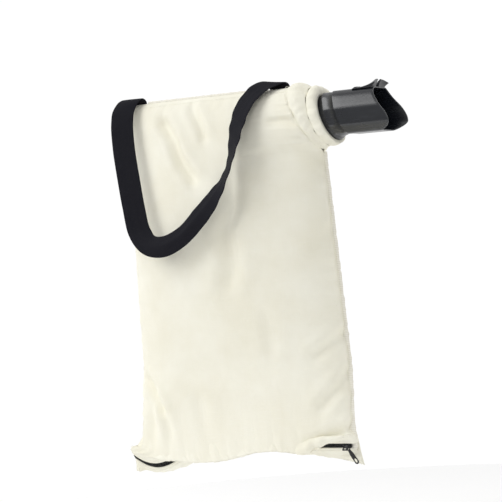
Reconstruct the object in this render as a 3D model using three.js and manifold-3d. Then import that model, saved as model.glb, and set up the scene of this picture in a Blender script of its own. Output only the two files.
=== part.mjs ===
// Collection bag of a garden blower vacuum: a sewn canvas sack with a moulded inlet duct on a soft neck,
// a zip across the bottom and a webbing shoulder strap.
// Millimetres, +Z up. The origin is the centre of the duct's seat, on the duct's axis; +X points out of its mouth.
// The sack hangs below the duct in the XZ plane, with its front towards -Y.
import * as THREE from "three";
import { mergeVertices } from "three/addons/utils/BufferGeometryUtils.js";
import Module from "manifold-3d";

const wasm = await Module();
wasm.setup();

// ---- driving dimensions ----
const GAP = 0.4; // air between two pieces that touch
const CLOTH = 1.6; // canvas wall

// duct
const WALL = 2.6; // moulded wall
const SPIGOT_R = 38; // outside of the round end that the cloth grips
const SPIGOT_END = -112; // inner end of the spigot
const BEAD = 1.8; // height of the bead that stops the cloth from slipping off
const BEAD_AT = -104;
const COLLAR_RUN = 16; // the round end turns into the socket's outline over this length
const SOCKET_TOP = 37; // distance from the section's centre to its roof
const SOCKET_SIDE = 42; // and to its widest flank
const SOCKET_FLOOR = 36; // and to its floor
const SOCKET_LIFT = 5; // the socket's centre lies this far above the duct's axis
const STEP_HEIGHT = 1.8; // the socket stands proud of the collar by this much
const STEP_X = -24; // the step at half height
const STEP_SLANT = 13; // and how much nearer to the sack it lies at the roof
const MOUTH_TOP = 42; // reach of the mouth at the roof
const MOUTH_NOSE = 71; // and at the nose, low on each flank
const MOUTH_FLOOR = 52; // and at the floor
const NOSE_Z = -16;
const THROAT_R = 31; // inside of the stop ring that the blower's outlet butts against
const RING = 4; // thickness of the stop ring
const RELIEF = 1.2; // groove between the stop ring and the socket's wall
const LIP_INNER = 5; // half the slot between the two catch lips
const LIP_OUTER = 27;
const LIP_HEIGHT = 13;

// cuff and neck
const HEM_TOP = -64; // the cloth's edge on the duct, at the top
const HEM_SLANT = 24; // the edge lies this much nearer to the mouth at the bottom
const HEM_WIDTH = 18;
const HEM_LIFT = 3; // the sleeve meets the hem this far above its inner face
const ELASTIC_R = 1.5;
const NECK_TOP = SPIGOT_R + 19; // top of the seam that joins the neck to the sack
const NECK_LOW = -SPIGOT_R - 12; // and its lowest point
const NECK_HALF_DEPTH = SPIGOT_R + 8;
const NECK_X_TOP = -124;
const NECK_X_LOW = -70;
const WELT = 2; // width of the welt between neck and sack
const WELT_RISE = 3;
const WELT_AT = 3; // and its distance from the panels' edges
const NECK_PUFF = 9; // the gathered cloth stands out by this much between seam and hem

// sack
const LEFT = -456; // left side seam
const RIGHT_TOP = -70; // right side seam, at the neck
const RIGHT_LOW = -40; // and at the bottom
const TOP = NECK_TOP; // top seam
const DEPTH = 72; // bulge of each panel
const SEAM_HALF = 1.7; // half the space between the two panels at a seam
const SEAM_FORWARD = -16; // the side seams come forward by this much where they pass the zip's ends
const FOLD_Y = 6; // depth of the fold under the zip, in the middle
const FOLD_DROP = 6; // and how far it lies below the zip's lower tape
const BELLY = 14; // the front panel hangs over the zip by this much
const SEAM_STRIP = 6; // width of the overlocked seam allowance

// zip
const ZIP_Z = -546; // the straight run of the chain
const ZIP_Y = -18;
const ZIP_RIGHT = RIGHT_LOW - 6; // its right end, where the slider rests
const ZIP_STRAIGHT_END = -330;
const ZIP_LEFT = LEFT - 26;
const EAR_LEFT_X = LEFT - 30; // the two bottom corners stick out as ears
const EAR_RIGHT_X = RIGHT_LOW + 11;
const EAR_LEFT_Z = ZIP_Z - 52;
const EAR_RIGHT_Z = ZIP_Z - 38;
const ZIP_DROP = 36; // the left end dips with the ear
const ZIP_TILT = 40; // the zip's face looks this many degrees below the horizon
const TAPE_WIDTH = 13;
const TAPE_INNER = 1.3;
const TAPE = 0.9;
const LAP_EDGE = 5.6; // the panels lap over the tapes and end this far from the chain's middle
const LAP_START = TAPE_WIDTH + 1.5; // where the lap starts, beyond the tape's edge
const TAPE_PAST = 6; // the tapes run on past the right end of the teeth
const COIL_LIFT = 0.5;
const COIL_INNER = 0.9;
const COIL_WIDTH = 2.4;
const COIL_HEIGHT = 1.7;

// slider and pull, along the zip (t), across it (a) and out of its face (n)
const SLIDER_LENGTH = 12;
const SLIDER_HALF = 4.4;
const PLATE = 1.1;
const SLIDER_CLEAR = 0.6;
const BAIL_RISE = 8;
const BAIL_WIRE = 1.5;
const BAIL_SPREAD = 4; // each leg's distance from the slider's middle
const PULL_LENGTH = 31; // from the eye's centre to the end
const PULL_WIDTH = 7.5;
const PULL_THICK = 1.3;
const PULL_EYE = 2.5; // radius of the eye round the bail's leg
const PULL_RIM = 1.1; // material round the eye
const PULL_LEAN = 34; // the pull hangs this many degrees off the vertical, towards +X

// strap
const WEBBING = 40;
const WEBBING_THICK = 1.7;
const STRAP_LEFT = LEFT + 20; // middle of the strap's left end on the top seam
const STRAP_RIGHT = NECK_X_TOP - 22; // and of its right end
const STRAP_CLEAR = 2; // the top seam's edge stops this far from the right end
const STRAP_CLEAR_LEFT = 22; // and this far from the left one

// ---- materials ----
const canvas = new THREE.MeshStandardMaterial({ color: 0xece8d6, roughness: 0.95 });
const seamThread = new THREE.MeshStandardMaterial({ color: 0xe2dec8, roughness: 0.9 });
const webbingBlack = new THREE.MeshStandardMaterial({ color: 0x17181b, roughness: 0.7 });
const tapeBlack = new THREE.MeshStandardMaterial({ color: 0x141414, roughness: 0.8 });
const nylonBlack = new THREE.MeshStandardMaterial({ color: 0x0d0d0d, roughness: 0.35 });
const paintedMetal = new THREE.MeshStandardMaterial({ color: 0x1a1a1a, roughness: 0.4, metalness: 0.6 });
const plastic = new THREE.MeshStandardMaterial({ color: 0x1c1f22, roughness: 0.45 });
const elasticWhite = new THREE.MeshStandardMaterial({ color: 0xf0efe8, roughness: 0.8 });

// ---- helpers ----
const lerp = THREE.MathUtils.lerp;
const rad = THREE.MathUtils.degToRad;
const clamp01 = (t) => Math.min(1, Math.max(0, t));
const ease = (t) => clamp01(t) ** 2 * (3 - 2 * clamp01(t));

// A closed geometry as a manifold solid, turned so that its faces point out.
function toSolid(geometry) {
  const bare = new THREE.BufferGeometry().setAttribute("position", geometry.getAttribute("position"));
  if (geometry.index) bare.setIndex(geometry.index);
  const merged = mergeVertices(bare, 1e-4);
  const build = (triangles) =>
    new wasm.Manifold(
      new wasm.Mesh({
        numProp: 3,
        vertProperties: merged.attributes.position.array,
        triVerts: triangles,
      }),
    );
  const triangles = new Uint32Array(merged.index.array);
  const solid = build(triangles);
  return solid.volume() > 0 ? solid : build(triangles.reverse());
}

function toGeometry(solid) {
  const mesh = solid.getMesh();
  const geometry = new THREE.BufferGeometry();
  geometry.setAttribute("position", new THREE.BufferAttribute(mesh.vertProperties.slice(), 3));
  geometry.setIndex(new THREE.BufferAttribute(mesh.triVerts.slice(), 1));
  return geometry;
}

function place(group, name, solid, material) {
  const mesh = new THREE.Mesh(toGeometry(solid), material);
  mesh.name = name;
  group.add(mesh);
  return mesh;
}

// A slab with nu by nv cells: at(u, v, w) gives each point, with w 0 on the outer face and 1 on the inner one.
function slab(nu, nv, at) {
  const geometry = new THREE.BoxGeometry(1, 1, 1, nu, nv, 1);
  const position = geometry.getAttribute("position");
  for (let i = 0; i < position.count; i++) {
    const p = at(position.getX(i) + 0.5, position.getY(i) + 0.5, position.getZ(i) + 0.5);
    position.setXYZ(i, p.x, p.y, p.z);
  }
  return toSolid(geometry);
}

// A sheet of constant thickness: surface(u, v) is its outer face, and the inner one lies behind it along the normal.
function sheet(nu, nv, surface, thickness, warpU = (t) => t, warpV = (t) => t) {
  const step = 1e-3;
  return slab(nu, nv, (a, b, w) => {
    const u = warpU(a);
    const v = warpV(b);
    const p = surface(u, v);
    const du = surface(Math.min(1, u + step), v).sub(surface(Math.max(0, u - step), v));
    const dv = surface(u, Math.min(1, v + step)).sub(surface(u, Math.max(0, v - step)));
    const normal = du.cross(dv).normalize();
    return p.addScaledVector(normal, -w * thickness);
  });
}

// A ring whose section is a closed polygon: at(angle, k) gives corner k of the section at an angle round the ring.
function ring(around, corners, at) {
  const geometry = new THREE.TorusGeometry(2, 1, corners, around);
  const position = geometry.getAttribute("position");
  const uv = geometry.getAttribute("uv");
  for (let i = 0; i < position.count; i++) {
    const turn = Math.round(uv.getX(i) * around) % around;
    const corner = Math.round(uv.getY(i) * corners) % corners;
    const p = at((turn / around) * 2 * Math.PI, corner);
    position.setXYZ(i, p.x, p.y, p.z);
  }
  return toSolid(geometry);
}

// Two ends closer together than the middle, for the cells of a sheet.
const denseEnds = (t) => lerp(t, 0.5 - 0.5 * Math.cos(Math.PI * t), 0.7);

// ---- duct ----
// Outline of the socket as distances of flats from its centre: [direction in degrees from +Y, distance].
const FLATS = [
  [90, SOCKET_TOP],
  [52, SOCKET_SIDE + 1],
  [26, SOCKET_SIDE - 0.5],
  [-7, SOCKET_SIDE],
  [-50, SOCKET_SIDE + 0.5],
  [-90, SOCKET_FLOOR],
];
const ROUNDING = 18; // the higher, the sharper the corners between the flats

// Radius of the socket's outline at an angle from +Y, mirrored about the XZ plane.
function socketRadius(angle) {
  const folded = Math.asin(Math.sin(angle));
  let sum = 0;
  for (const [direction, distance] of FLATS) {
    const facing = Math.cos(folded - rad(direction));
    if (facing > 0) sum += (facing / distance) ** ROUNDING;
  }
  return sum ** (-1 / ROUNDING);
}

// Reach of the mouth at a height: short at the roof, long at the nose, and back again to the floor.
function mouthReach(z) {
  const roof = SOCKET_LIFT + SOCKET_TOP;
  const floor = SOCKET_LIFT - SOCKET_FLOOR;
  return z > NOSE_Z
    ? lerp(MOUTH_TOP, MOUTH_NOSE, ease((roof - z) / (roof - NOSE_Z)))
    : lerp(MOUTH_NOSE, MOUTH_FLOOR, ((NOSE_Z - z) / (NOSE_Z - floor)) ** 2);
}

// The cloth's edge on the duct slants: it lies nearer to the mouth at the bottom.
const hemX = (angle) => HEM_TOP + HEM_SLANT * (0.5 - 0.5 * Math.sin(angle));

// Share of the socket's outline, from 0 on the round end to 1 past the collar.
const socketShare = (x, angle) => ease((x - hemX(angle) - 2) / COLLAR_RUN);

// Radius of the duct's outside at x and an angle from +Y, with the bead.
function ductRadius(x, angle) {
  const bead = BEAD * Math.exp(-(((x - BEAD_AT) / 2.5) ** 2));
  return lerp(SPIGOT_R, socketRadius(angle) - STEP_HEIGHT, socketShare(x, angle)) + bead;
}

function ductPoint(x, radius, angle) {
  const lift = SOCKET_LIFT * socketShare(x, angle);
  return new THREE.Vector3(x, radius * Math.cos(angle), lift + radius * Math.sin(angle));
}

// Where the slanted step between collar and socket runs.
const stepX = (angle) => STEP_X - STEP_SLANT * Math.sin(angle);

function ductShell() {
  const spigot = [SPIGOT_END, BEAD_AT - 3, BEAD_AT, BEAD_AT + 3, BEAD_AT + 8];
  const collar = [0, 0.25, 0.5, 0.75, 1];
  const mouth = (angle) => mouthReach(SOCKET_LIFT + socketRadius(angle) * Math.sin(angle));
  const alongCollar = (angle, share) => hemX(angle) + 2 + COLLAR_RUN * share;
  const corners = [
    ...spigot.map((x) => (angle) => ductPoint(x, ductRadius(x, angle), angle)),
    ...collar.map((share) => (angle) => {
      const x = alongCollar(angle, share);
      return ductPoint(x, ductRadius(x, angle), angle);
    }),
    (angle) => ductPoint(stepX(angle), socketRadius(angle) - STEP_HEIGHT, angle),
    (angle) => ductPoint(stepX(angle) + 1.5, socketRadius(angle), angle),
    (angle) => ductPoint(2, socketRadius(angle), angle),
    (angle) => ductPoint(24, socketRadius(angle), angle),
    (angle) => ductPoint(mouth(angle), socketRadius(angle), angle),
    (angle) => ductPoint(mouth(angle), socketRadius(angle) - WALL, angle),
    (angle) => ductPoint(24, socketRadius(angle) - WALL, angle),
    (angle) => ductPoint(-RELIEF, socketRadius(angle) - WALL, angle),
    (angle) => ductPoint(-RELIEF, socketRadius(angle) - WALL - 1, angle),
    (angle) => ductPoint(0, socketRadius(angle) - WALL - 1, angle),
    (angle) => ductPoint(0, THROAT_R, angle),
    (angle) => ductPoint(-RING, THROAT_R, angle),
    (angle) => ductPoint(-RING, SPIGOT_R - WALL - 3, angle),
    (angle) => ductPoint(-RING - 14, SPIGOT_R - WALL - 1.5, angle),
    (angle) => ductPoint(alongCollar(angle, 0), SPIGOT_R - WALL, angle),
    (angle) => ductPoint(SPIGOT_END, SPIGOT_R - WALL, angle),
  ];
  return ring(52, corners.length, (angle, k) => corners[k](angle));
}

// A catch lip on the roof: a ramp with a finger dip that rises to a hooked edge at the mouth.
function catchLip(side) {
  const roof = SOCKET_LIFT + SOCKET_TOP;
  const profile = new THREE.Shape();
  profile.moveTo(2, roof - 1.4);
  profile.lineTo(8, roof + 3.6);
  profile.quadraticCurveTo(16, roof - 0.5, 24, roof + 3.2);
  profile.quadraticCurveTo(33, roof + 6.5, MOUTH_TOP - 2, roof + LIP_HEIGHT);
  profile.lineTo(MOUTH_TOP, roof + LIP_HEIGHT - 1.5);
  profile.quadraticCurveTo(MOUTH_TOP - 5, roof + 5, MOUTH_TOP - 5, roof - 1.4);
  const width = LIP_OUTER - LIP_INNER;
  const geometry = new THREE.ExtrudeGeometry(profile, { depth: width, steps: 4, bevelEnabled: false, curveSegments: 5 });
  geometry.rotateX(Math.PI / 2);
  geometry.translate(0, side > 0 ? LIP_OUTER : -LIP_INNER, 0);
  // the crown of the lips falls towards their outer ends
  const position = geometry.getAttribute("position");
  for (let i = 0; i < position.count; i++) {
    const out = (Math.abs(position.getY(i)) - LIP_INNER) / width;
    const above = Math.max(0, position.getZ(i) - roof);
    position.setZ(i, position.getZ(i) - above * 0.45 * out ** 2);
    position.setX(i, position.getX(i) + (above / LIP_HEIGHT) * 4 * out ** 2);
  }
  return toSolid(geometry);
}

// ---- cuff: a gathered hem round its elastic, which grips the spigot ----
const gather = (angle, count, height) => height * Math.cos(count * angle);

function hem() {
  const inner = SPIGOT_R + GAP;
  const elastic = ELASTIC_R + GAP;
  const middle = inner + CLOTH + elastic;
  // the section is a folded channel, open towards the spigot's side by a slit, with the elastic inside it
  const outer = middle + elastic + CLOTH;
  const outline = [
    [0, inner],
    [-HEM_WIDTH, inner],
    [-HEM_WIDTH, outer - 1.5],
    [-HEM_WIDTH * 0.6, outer + 1],
    [-2, outer],
    [0, outer - 1.5],
    [0, middle + 0.4],
    [-CLOTH - 1, middle + 0.4],
    [-CLOTH - 1, middle + elastic],
    [-CLOTH - 1 - 2 * elastic, middle + elastic],
    [-CLOTH - 1 - 2 * elastic, middle - elastic],
    [-CLOTH - 1, middle - elastic],
    [-CLOTH - 1, middle - 0.4],
    [0, middle - 0.4],
  ];
  return ring(36, outline.length, (angle, k) => {
    const [x, r] = outline[k];
    const wave = r > outer - 1 ? gather(angle, 9, 0.5) : 0;
    return new THREE.Vector3(hemX(angle) + x, (r + wave) * Math.cos(angle), (r + wave) * Math.sin(angle));
  });
}

function elastic() {
  const middle = SPIGOT_R + GAP + CLOTH + ELASTIC_R + GAP;
  const centre = -CLOTH - 1 - (ELASTIC_R + GAP);
  return ring(36, 8, (angle, k) => {
    const turn = (k / 8) * 2 * Math.PI;
    const r = middle + ELASTIC_R * Math.sin(turn);
    const x = hemX(angle) + centre + ELASTIC_R * Math.cos(turn);
    return new THREE.Vector3(x, r * Math.cos(angle), r * Math.sin(angle));
  });
}

// ---- neck: from the seam on the sack's corner to the hem ----
// Point of the neck seam at an angle from +Y; it slants across the corner.
function neckSeam(angle, grow = 0) {
  const rise = Math.sin(angle);
  const middle = (NECK_TOP + NECK_LOW) / 2;
  const half = (NECK_TOP - NECK_LOW) / 2;
  return new THREE.Vector3(
    lerp(NECK_X_LOW, NECK_X_TOP, (rise + 1) / 2),
    (NECK_HALF_DEPTH + grow) * Math.cos(angle),
    middle + (half + grow) * rise,
  );
}

function neckPoint(angle, along, inset) {
  const start = neckSeam(angle, -inset).add(new THREE.Vector3(WELT_AT + WELT + GAP, 0, 0));
  const r = SPIGOT_R + 4 * GAP + CLOTH + HEM_LIFT - inset;
  const end = new THREE.Vector3(hemX(angle) - HEM_WIDTH - GAP, r * Math.cos(angle), r * Math.sin(angle));
  const puff = NECK_PUFF * Math.sin(Math.PI * along) * (0.55 + 0.45 * Math.sin(angle));
  const p = start.lerp(end, along);
  const out = new THREE.Vector3(0, Math.cos(angle), Math.sin(angle));
  return p.addScaledVector(out, puff + gather(angle, 9, 0.8) * along * (1 - along) * 2);
}

function neckSleeve() {
  const steps = 4;
  return ring(36, 2 * steps + 2, (angle, k) =>
    k <= steps
      ? neckPoint(angle, k / steps, 0)
      : neckPoint(angle, 1 - (k - steps - 1) / steps, CLOTH),
  );
}

// The welt where neck and sack are sewn together.
function neckWelt() {
  const corners = [
    [0, -CLOTH],
    [WELT, -CLOTH],
    [WELT, WELT_RISE],
    [0, WELT_RISE],
  ];
  return ring(36, corners.length, (angle, k) => {
    const [x, out] = corners[k];
    return neckSeam(angle, out).add(new THREE.Vector3(WELT_AT + x, 0, 0));
  });
}

// ---- sack ----
// The zip's frame: t runs along it, a lies in its face and points up to the front panel, n points out of its face.
const zipFace = new THREE.Vector3(0, -Math.cos(rad(ZIP_TILT)), -Math.sin(rad(ZIP_TILT)));
const zipAcross = new THREE.Vector3(0, -Math.sin(rad(ZIP_TILT)), Math.cos(rad(ZIP_TILT)));

function zipDip(x) {
  const s = clamp01((ZIP_STRAIGHT_END - x) / (ZIP_STRAIGHT_END - ZIP_LEFT));
  const lowest = 0.68;
  return s < lowest
    ? ZIP_DROP * ease(s / lowest)
    : ZIP_DROP * (1 - 0.5 * ((s - lowest) / (1 - lowest)) ** 2);
}

function zipPoint(x, across, out) {
  const p = new THREE.Vector3(x, ZIP_Y, ZIP_Z - zipDip(x));
  return p.addScaledVector(zipAcross, across).addScaledVector(zipFace, out);
}

// Side seams: x of each at a height, and the depth at which the two panels meet there.
function leftSeam(z) {
  const corner = 20 * clamp01((z - (TOP - 30)) / 30) ** 2;
  return LEFT + corner + (EAR_LEFT_X - LEFT) * ease((-508 - z) / 64);
}

function rightSeam(z) {
  if (z > NECK_LOW) return lerp(NECK_X_LOW, NECK_X_TOP, clamp01((z - NECK_LOW) / (NECK_TOP - NECK_LOW)));
  return lerp(RIGHT_TOP, RIGHT_LOW, clamp01((NECK_LOW - z) / (NECK_LOW - ZIP_Z)));
}

const seamY = (z) => SEAM_FORWARD * (ease((-400 - z) / 130) - 0.5 * ease((-556 - z) / 36));

// How far the neck's round opening pushes a panel out at a height.
function neckDepth(z) {
  const middle = (NECK_TOP + NECK_LOW) / 2;
  const half = (NECK_TOP - NECK_LOW) / 2;
  return NECK_HALF_DEPTH * Math.sqrt(Math.max(0, 1 - ((z - middle) / half) ** 2));
}

// The pillow's bulge: zero at the seams and full in the middle.
const across = (u) => (1 - Math.abs(2 * u - 1) ** 2.4) ** 0.6;
const down = (v) => Math.max(0, Math.sin(Math.PI * v)) ** 0.55;

function bulge(u, v, z) {
  return DEPTH * across(u) * down(v) + neckDepth(z) * u ** 4 * (1 - 0.3 * across(u));
}

// The panels' laps over the zip's tapes: share 0 where a lap starts and 1 at its edge.
function lapPoint(u, share, side) {
  const x = lerp(ZIP_LEFT, ZIP_RIGHT, u);
  return zipPoint(x, side * lerp(LAP_START, LAP_EDGE, share), TAPE / 2 + GAP + CLOTH);
}

const FRONT_LAP = 0.985; // share of the front panel above its lap

function frontSurface(u, v) {
  if (v > FRONT_LAP) return lapPoint(u, (v - FRONT_LAP) / (1 - FRONT_LAP), 1);
  const foot = lapPoint(u, 0, 1);
  const share = v / FRONT_LAP;
  const z = lerp(TOP, foot.z, share);
  const belly = BELLY * Math.exp(-(((share - 0.93) / 0.05) ** 2)) * across(u);
  const x = lerp(lerp(leftSeam(z), rightSeam(z), u), foot.x, ease((share - 0.9) / 0.1));
  const y = lerp(seamY(z) - SEAM_HALF, foot.y, ease((share - 0.86) / 0.14));
  return new THREE.Vector3(x, y - bulge(u, share, z), z - belly);
}

// The back panel runs down to the fold below the zip, and comes forward and up to the zip's lower tape.
const FOLD = 0.94; // share of the back panel above the fold
const BACK_LAP = 0.987; // and of panel and flap above the lap
function foldPoint(u) {
  const rise = across(u) ** 1.2;
  return new THREE.Vector3(
    lerp(EAR_LEFT_X, EAR_RIGHT_X, u),
    lerp(SEAM_FORWARD / 2 + SEAM_HALF, FOLD_Y, rise),
    lerp(lerp(EAR_LEFT_Z, EAR_RIGHT_Z, u), lapPoint(u, 0, -1).z - FOLD_DROP, rise),
  );
}

function backSurface(u, v) {
  if (v > BACK_LAP) return lapPoint(u, (v - BACK_LAP) / (1 - BACK_LAP), -1);
  const fold = foldPoint(u);
  if (v > FOLD) return fold.lerp(lapPoint(u, 0, -1), (v - FOLD) / (BACK_LAP - FOLD));
  const share = v / FOLD;
  const z = lerp(TOP, fold.z, share);
  const x = lerp(lerp(leftSeam(z), rightSeam(z), u), fold.x, ease((share - 0.85) / 0.15));
  const edge = seamY(z) + SEAM_HALF + 3 * ease((-480 - z) / 60);
  const y = lerp(edge, lerp(edge, fold.y, ease((share - 0.8) / 0.2)), across(u));
  return new THREE.Vector3(x, y + bulge(u, share, z), z);
}

// An overlocked seam allowance that stands out of the sack between its panels.
function seamStrip(cells, line) {
  return slab(cells, 1, (u, v, w) => {
    const [x, z, outX, outZ] = line(u);
    const out = GAP + SEAM_STRIP * v;
    return new THREE.Vector3(x + outX * out, seamY(z) + (w - 0.5) * 1.5, z + outZ * out);
  });
}

const leftStrip = () =>
  seamStrip(20, (u) => {
    const z = lerp(TOP - 10, -500, u);
    return [leftSeam(z), z, -1, 0];
  });
const rightStrip = () =>
  seamStrip(16, (u) => {
    const z = lerp(NECK_LOW - 8, -500, u);
    return [rightSeam(z), z, 1, 0];
  });
const topStrip = () =>
  {
  const from = STRAP_LEFT + WEBBING / 2 + STRAP_CLEAR_LEFT;
  const to = STRAP_RIGHT - WEBBING / 2 - STRAP_CLEAR;
  return seamStrip(4, (u) => [lerp(from, to, u), TOP, 0, 1]);
};

// ---- zip ----
function zipTape(side) {
  return slab(40, 1, (u, v, w) => {
    const x = lerp(ZIP_LEFT, ZIP_RIGHT + TAPE_PAST, u);
    return zipPoint(x, side * lerp(TAPE_INNER, TAPE_WIDTH, v), (w - 0.5) * TAPE);
  });
}

function zipCoil(side) {
  return slab(40, 1, (u, v, w) => {
    const x = lerp(ZIP_LEFT + 8, ZIP_RIGHT, u);
    const out = TAPE / 2 + COIL_LIFT + w * COIL_HEIGHT;
    return zipPoint(x, side * lerp(COIL_INNER, COIL_INNER + COIL_WIDTH, v), out);
  });
}

// A small block in the zip's frame: [t, a, n] centre and size.
function zipBlock(at, size, bevel = 0) {
  const geometry = new THREE.BoxGeometry(...size);
  const frame = new THREE.Matrix4().makeBasis(new THREE.Vector3(1, 0, 0), zipAcross, zipFace.clone());
  const position = geometry.getAttribute("position");
  for (let i = 0; i < position.count; i++) {
    if (bevel && position.getZ(i) > 0) {
      position.setX(i, position.getX(i) * (1 - bevel));
      position.setY(i, position.getY(i) * (1 - bevel));
    }
  }
  geometry.applyMatrix4(new THREE.Matrix4().makeTranslation(...at));
  geometry.applyMatrix4(frame);
  geometry.translate(0, ZIP_Y, ZIP_Z);
  return toSolid(geometry);
}

// The staple that closes the left end of the zip, across both rows of teeth.
function zipBottomStop() {
  const left = ZIP_LEFT + 3;
  return slab(1, 1, (u, v, w) => {
    const x = lerp(left, left + 3.5, u);
    return zipPoint(x, lerp(-COIL_INNER - COIL_WIDTH, COIL_INNER + COIL_WIDTH, v), TAPE / 2 + COIL_LIFT + w * 2.2);
  });
}

const sliderX = ZIP_RIGHT - SLIDER_LENGTH / 2 - 1;
const coilTop = TAPE / 2 + COIL_LIFT + COIL_HEIGHT;
const plateTop = coilTop + SLIDER_CLEAR + PLATE;
const keelLow = -TAPE / 2 - SLIDER_CLEAR;

// Two plates joined by a keel between the two rows of teeth, with a flange along each side of the upper one.
function sliderBody() {
  const upper = zipBlock([sliderX, 0, plateTop - PLATE / 2], [SLIDER_LENGTH, 2 * SLIDER_HALF, PLATE], 0.1);
  const lower = zipBlock([sliderX, 0, keelLow - PLATE / 2], [SLIDER_LENGTH, 2 * SLIDER_HALF, PLATE]);
  const keel = zipBlock([sliderX + 3.5, 0, (plateTop + keelLow - PLATE) / 2], [4, 0.8, plateTop - keelLow], 0);
  let body = upper.add(lower).add(keel);
  const flangeLow = TAPE / 2 + SLIDER_CLEAR;
  const flangeHeight = plateTop - PLATE / 2 - flangeLow;
  for (const side of [-1, 1]) {
    const flange = zipBlock(
      [sliderX, side * (SLIDER_HALF - 0.4), flangeLow + flangeHeight / 2],
      [SLIDER_LENGTH, 0.8, flangeHeight],
    );
    body = body.add(flange);
  }
  return body;
}

// The bail: an arch over the upper plate that carries the pull.
function sliderBail() {
  const base = plateTop + 0.05;
  let bail = zipBlock([sliderX, 0, base + BAIL_RISE - BAIL_WIRE / 2], [2 * BAIL_SPREAD + BAIL_WIRE, 2, BAIL_WIRE], 0.08);
  for (const end of [-1, 1]) {
    const leg = zipBlock([sliderX + end * BAIL_SPREAD, 0, base + BAIL_RISE / 2], [BAIL_WIRE, 2, BAIL_RISE - 0.1]);
    bail = bail.add(leg);
  }
  return bail;
}

// The pull hangs on the bail's right leg, in an upright plane along the zip.
const pullPivot = zipPoint(sliderX + BAIL_SPREAD, 0, plateTop + (BAIL_RISE - BAIL_WIRE) / 2);

// The pull: a flat tab with a round eye at the bail and an oval hole at its end.
function zipPull() {
  const half = PULL_WIDTH / 2;
  const rim = PULL_EYE + PULL_RIM;
  const shape = new THREE.Shape();
  shape.absarc(0, 0, rim, Math.PI / 3, (5 * Math.PI) / 3, false);
  shape.lineTo(7, -2.2);
  shape.lineTo(PULL_LENGTH - 17, -half);
  shape.lineTo(PULL_LENGTH - half, -half);
  shape.absarc(PULL_LENGTH - half, 0, half, -Math.PI / 2, Math.PI / 2, false);
  shape.lineTo(PULL_LENGTH - 17, half);
  shape.lineTo(7, 2.2);
  shape.closePath();
  const eye = new THREE.Path();
  eye.absarc(0, 0, PULL_EYE, 0, 2 * Math.PI, true);
  const hole = new THREE.Path();
  hole.absellipse(PULL_LENGTH - 6.5, 0, 4, 2.1, 0, 2 * Math.PI, true, 0);
  shape.holes.push(eye, hole);
  const geometry = new THREE.ExtrudeGeometry(shape, { depth: PULL_THICK, bevelEnabled: false, curveSegments: 8 });
  geometry.translate(0, 0, -PULL_THICK / 2);
  const lean = rad(PULL_LEAN);
  const along = new THREE.Vector3(Math.sin(lean), 0, -Math.cos(lean));
  const side = new THREE.Vector3(Math.cos(lean), 0, Math.sin(lean));
  geometry.applyMatrix4(new THREE.Matrix4().makeBasis(along, side, along.clone().cross(side)));
  geometry.translate(pullPivot.x, pullPivot.y, pullPivot.z);
  return toSolid(geometry);
}

// ---- strap: a long webbing loop ----
// Each row is a point of its centre line, x from the left end and z from the top seam, then the width's direction
// and how far the middle stands up in a lengthwise crease.
const STRAP_ROWS = [
  [0, 0, -7, 1, 0, 0, 0],
  [0, 0, 4, 1, 0, 0, 0],
  [-3, -7, 10, 1, 0.1, 0, 0],
  [-7, -17, 5, 0.97, 0.25, 0, 0],
  [-10, -29, -9, 0.9, 0.42, 0, 0],
  [-7, -42, -32, 0.87, 0.49, 0, 0],
  [3, -57, -77, 0.87, 0.49, 0.02, 0],
  [20, -73, -137, 0.86, 0.5, 0.06, 0],
  [38, -84, -189, 0.82, 0.5, 0.2, 0],
  [56, -91, -229, 0.55, 0.5, 0.6, 3],
  [78, -95, -246, 0.2, 0.4, 0.9, 6],
  [106, -97, -251, 0, 0.1, 1, 7],
  [136, -97, -239, -0.2, 0.1, 0.97, 7],
  [168, -97, -213, -0.42, 0.15, 0.9, 6],
  [198, -95, -183, -0.58, 0.42, 0.7, 4],
  [222, -91, -149, -0.6, 0.74, 0.35, 1],
  [232, -82, -115, -0.66, 0.72, 0.15, 0],
  [237, -71, -75, -0.83, 0.5, 0.2, 0],
  [242, -56, -39, -0.9, 0.36, 0.22, 0],
  [252, -40, -13, -0.94, 0.28, 0.2, 0],
  [266, -25, 3, -0.97, 0.1, 0.2, 0],
  [276, -14, 10, -0.98, 0, 0.2, 0],
  [286, -5, 11, -1, 0, 0.1, 0],
  [290, 0, 4, -1, 0, 0, 0],
  [290, 0, -7, -1, 0, 0, 0],
];
const STRAP_HINGE_LEFT = 4; // rows where the sewn ends give way to the loose loop
const STRAP_HINGE_RIGHT = 19;
const HINGE_GAP = 0.06; // share of a row left free at each hinge

const strapStretch = (STRAP_RIGHT - STRAP_LEFT) / STRAP_ROWS.at(-1)[0];
const strapPoints = STRAP_ROWS.map((r) => new THREE.Vector3(STRAP_LEFT + r[0] * strapStretch, r[1], TOP + r[2]));
const strapLine = new THREE.CatmullRomCurve3(strapPoints);
const strapWidths = new THREE.CatmullRomCurve3(STRAP_ROWS.map((r) => new THREE.Vector3(r[3], r[4], r[5])));

function strapPiece(from, to, cells) {
  const last = STRAP_ROWS.length - 1;
  return slab(cells, 2, (u, v, w) => {
    const row = lerp(from, to, u);
    const t = clamp01(row / last);
    const centre = strapLine.getPoint(t);
    const tangent = strapLine.getTangent(t);
    const width = strapWidths.getPoint(t).normalize();
    const normal = tangent.clone().cross(width).normalize();
    const i = Math.min(last - 1, Math.floor(row));
    const crease = lerp(STRAP_ROWS[i][6], STRAP_ROWS[i + 1][6], row - i);
    const side = 2 * v - 1;
    const half = Math.sqrt((WEBBING / 2) ** 2 - crease ** 2);
    const fold = crease * (1 - Math.abs(side));
    return centre
      .addScaledVector(width, side * half)
      .addScaledVector(normal, fold + (w - 0.5) * WEBBING_THICK);
  });
}

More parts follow.
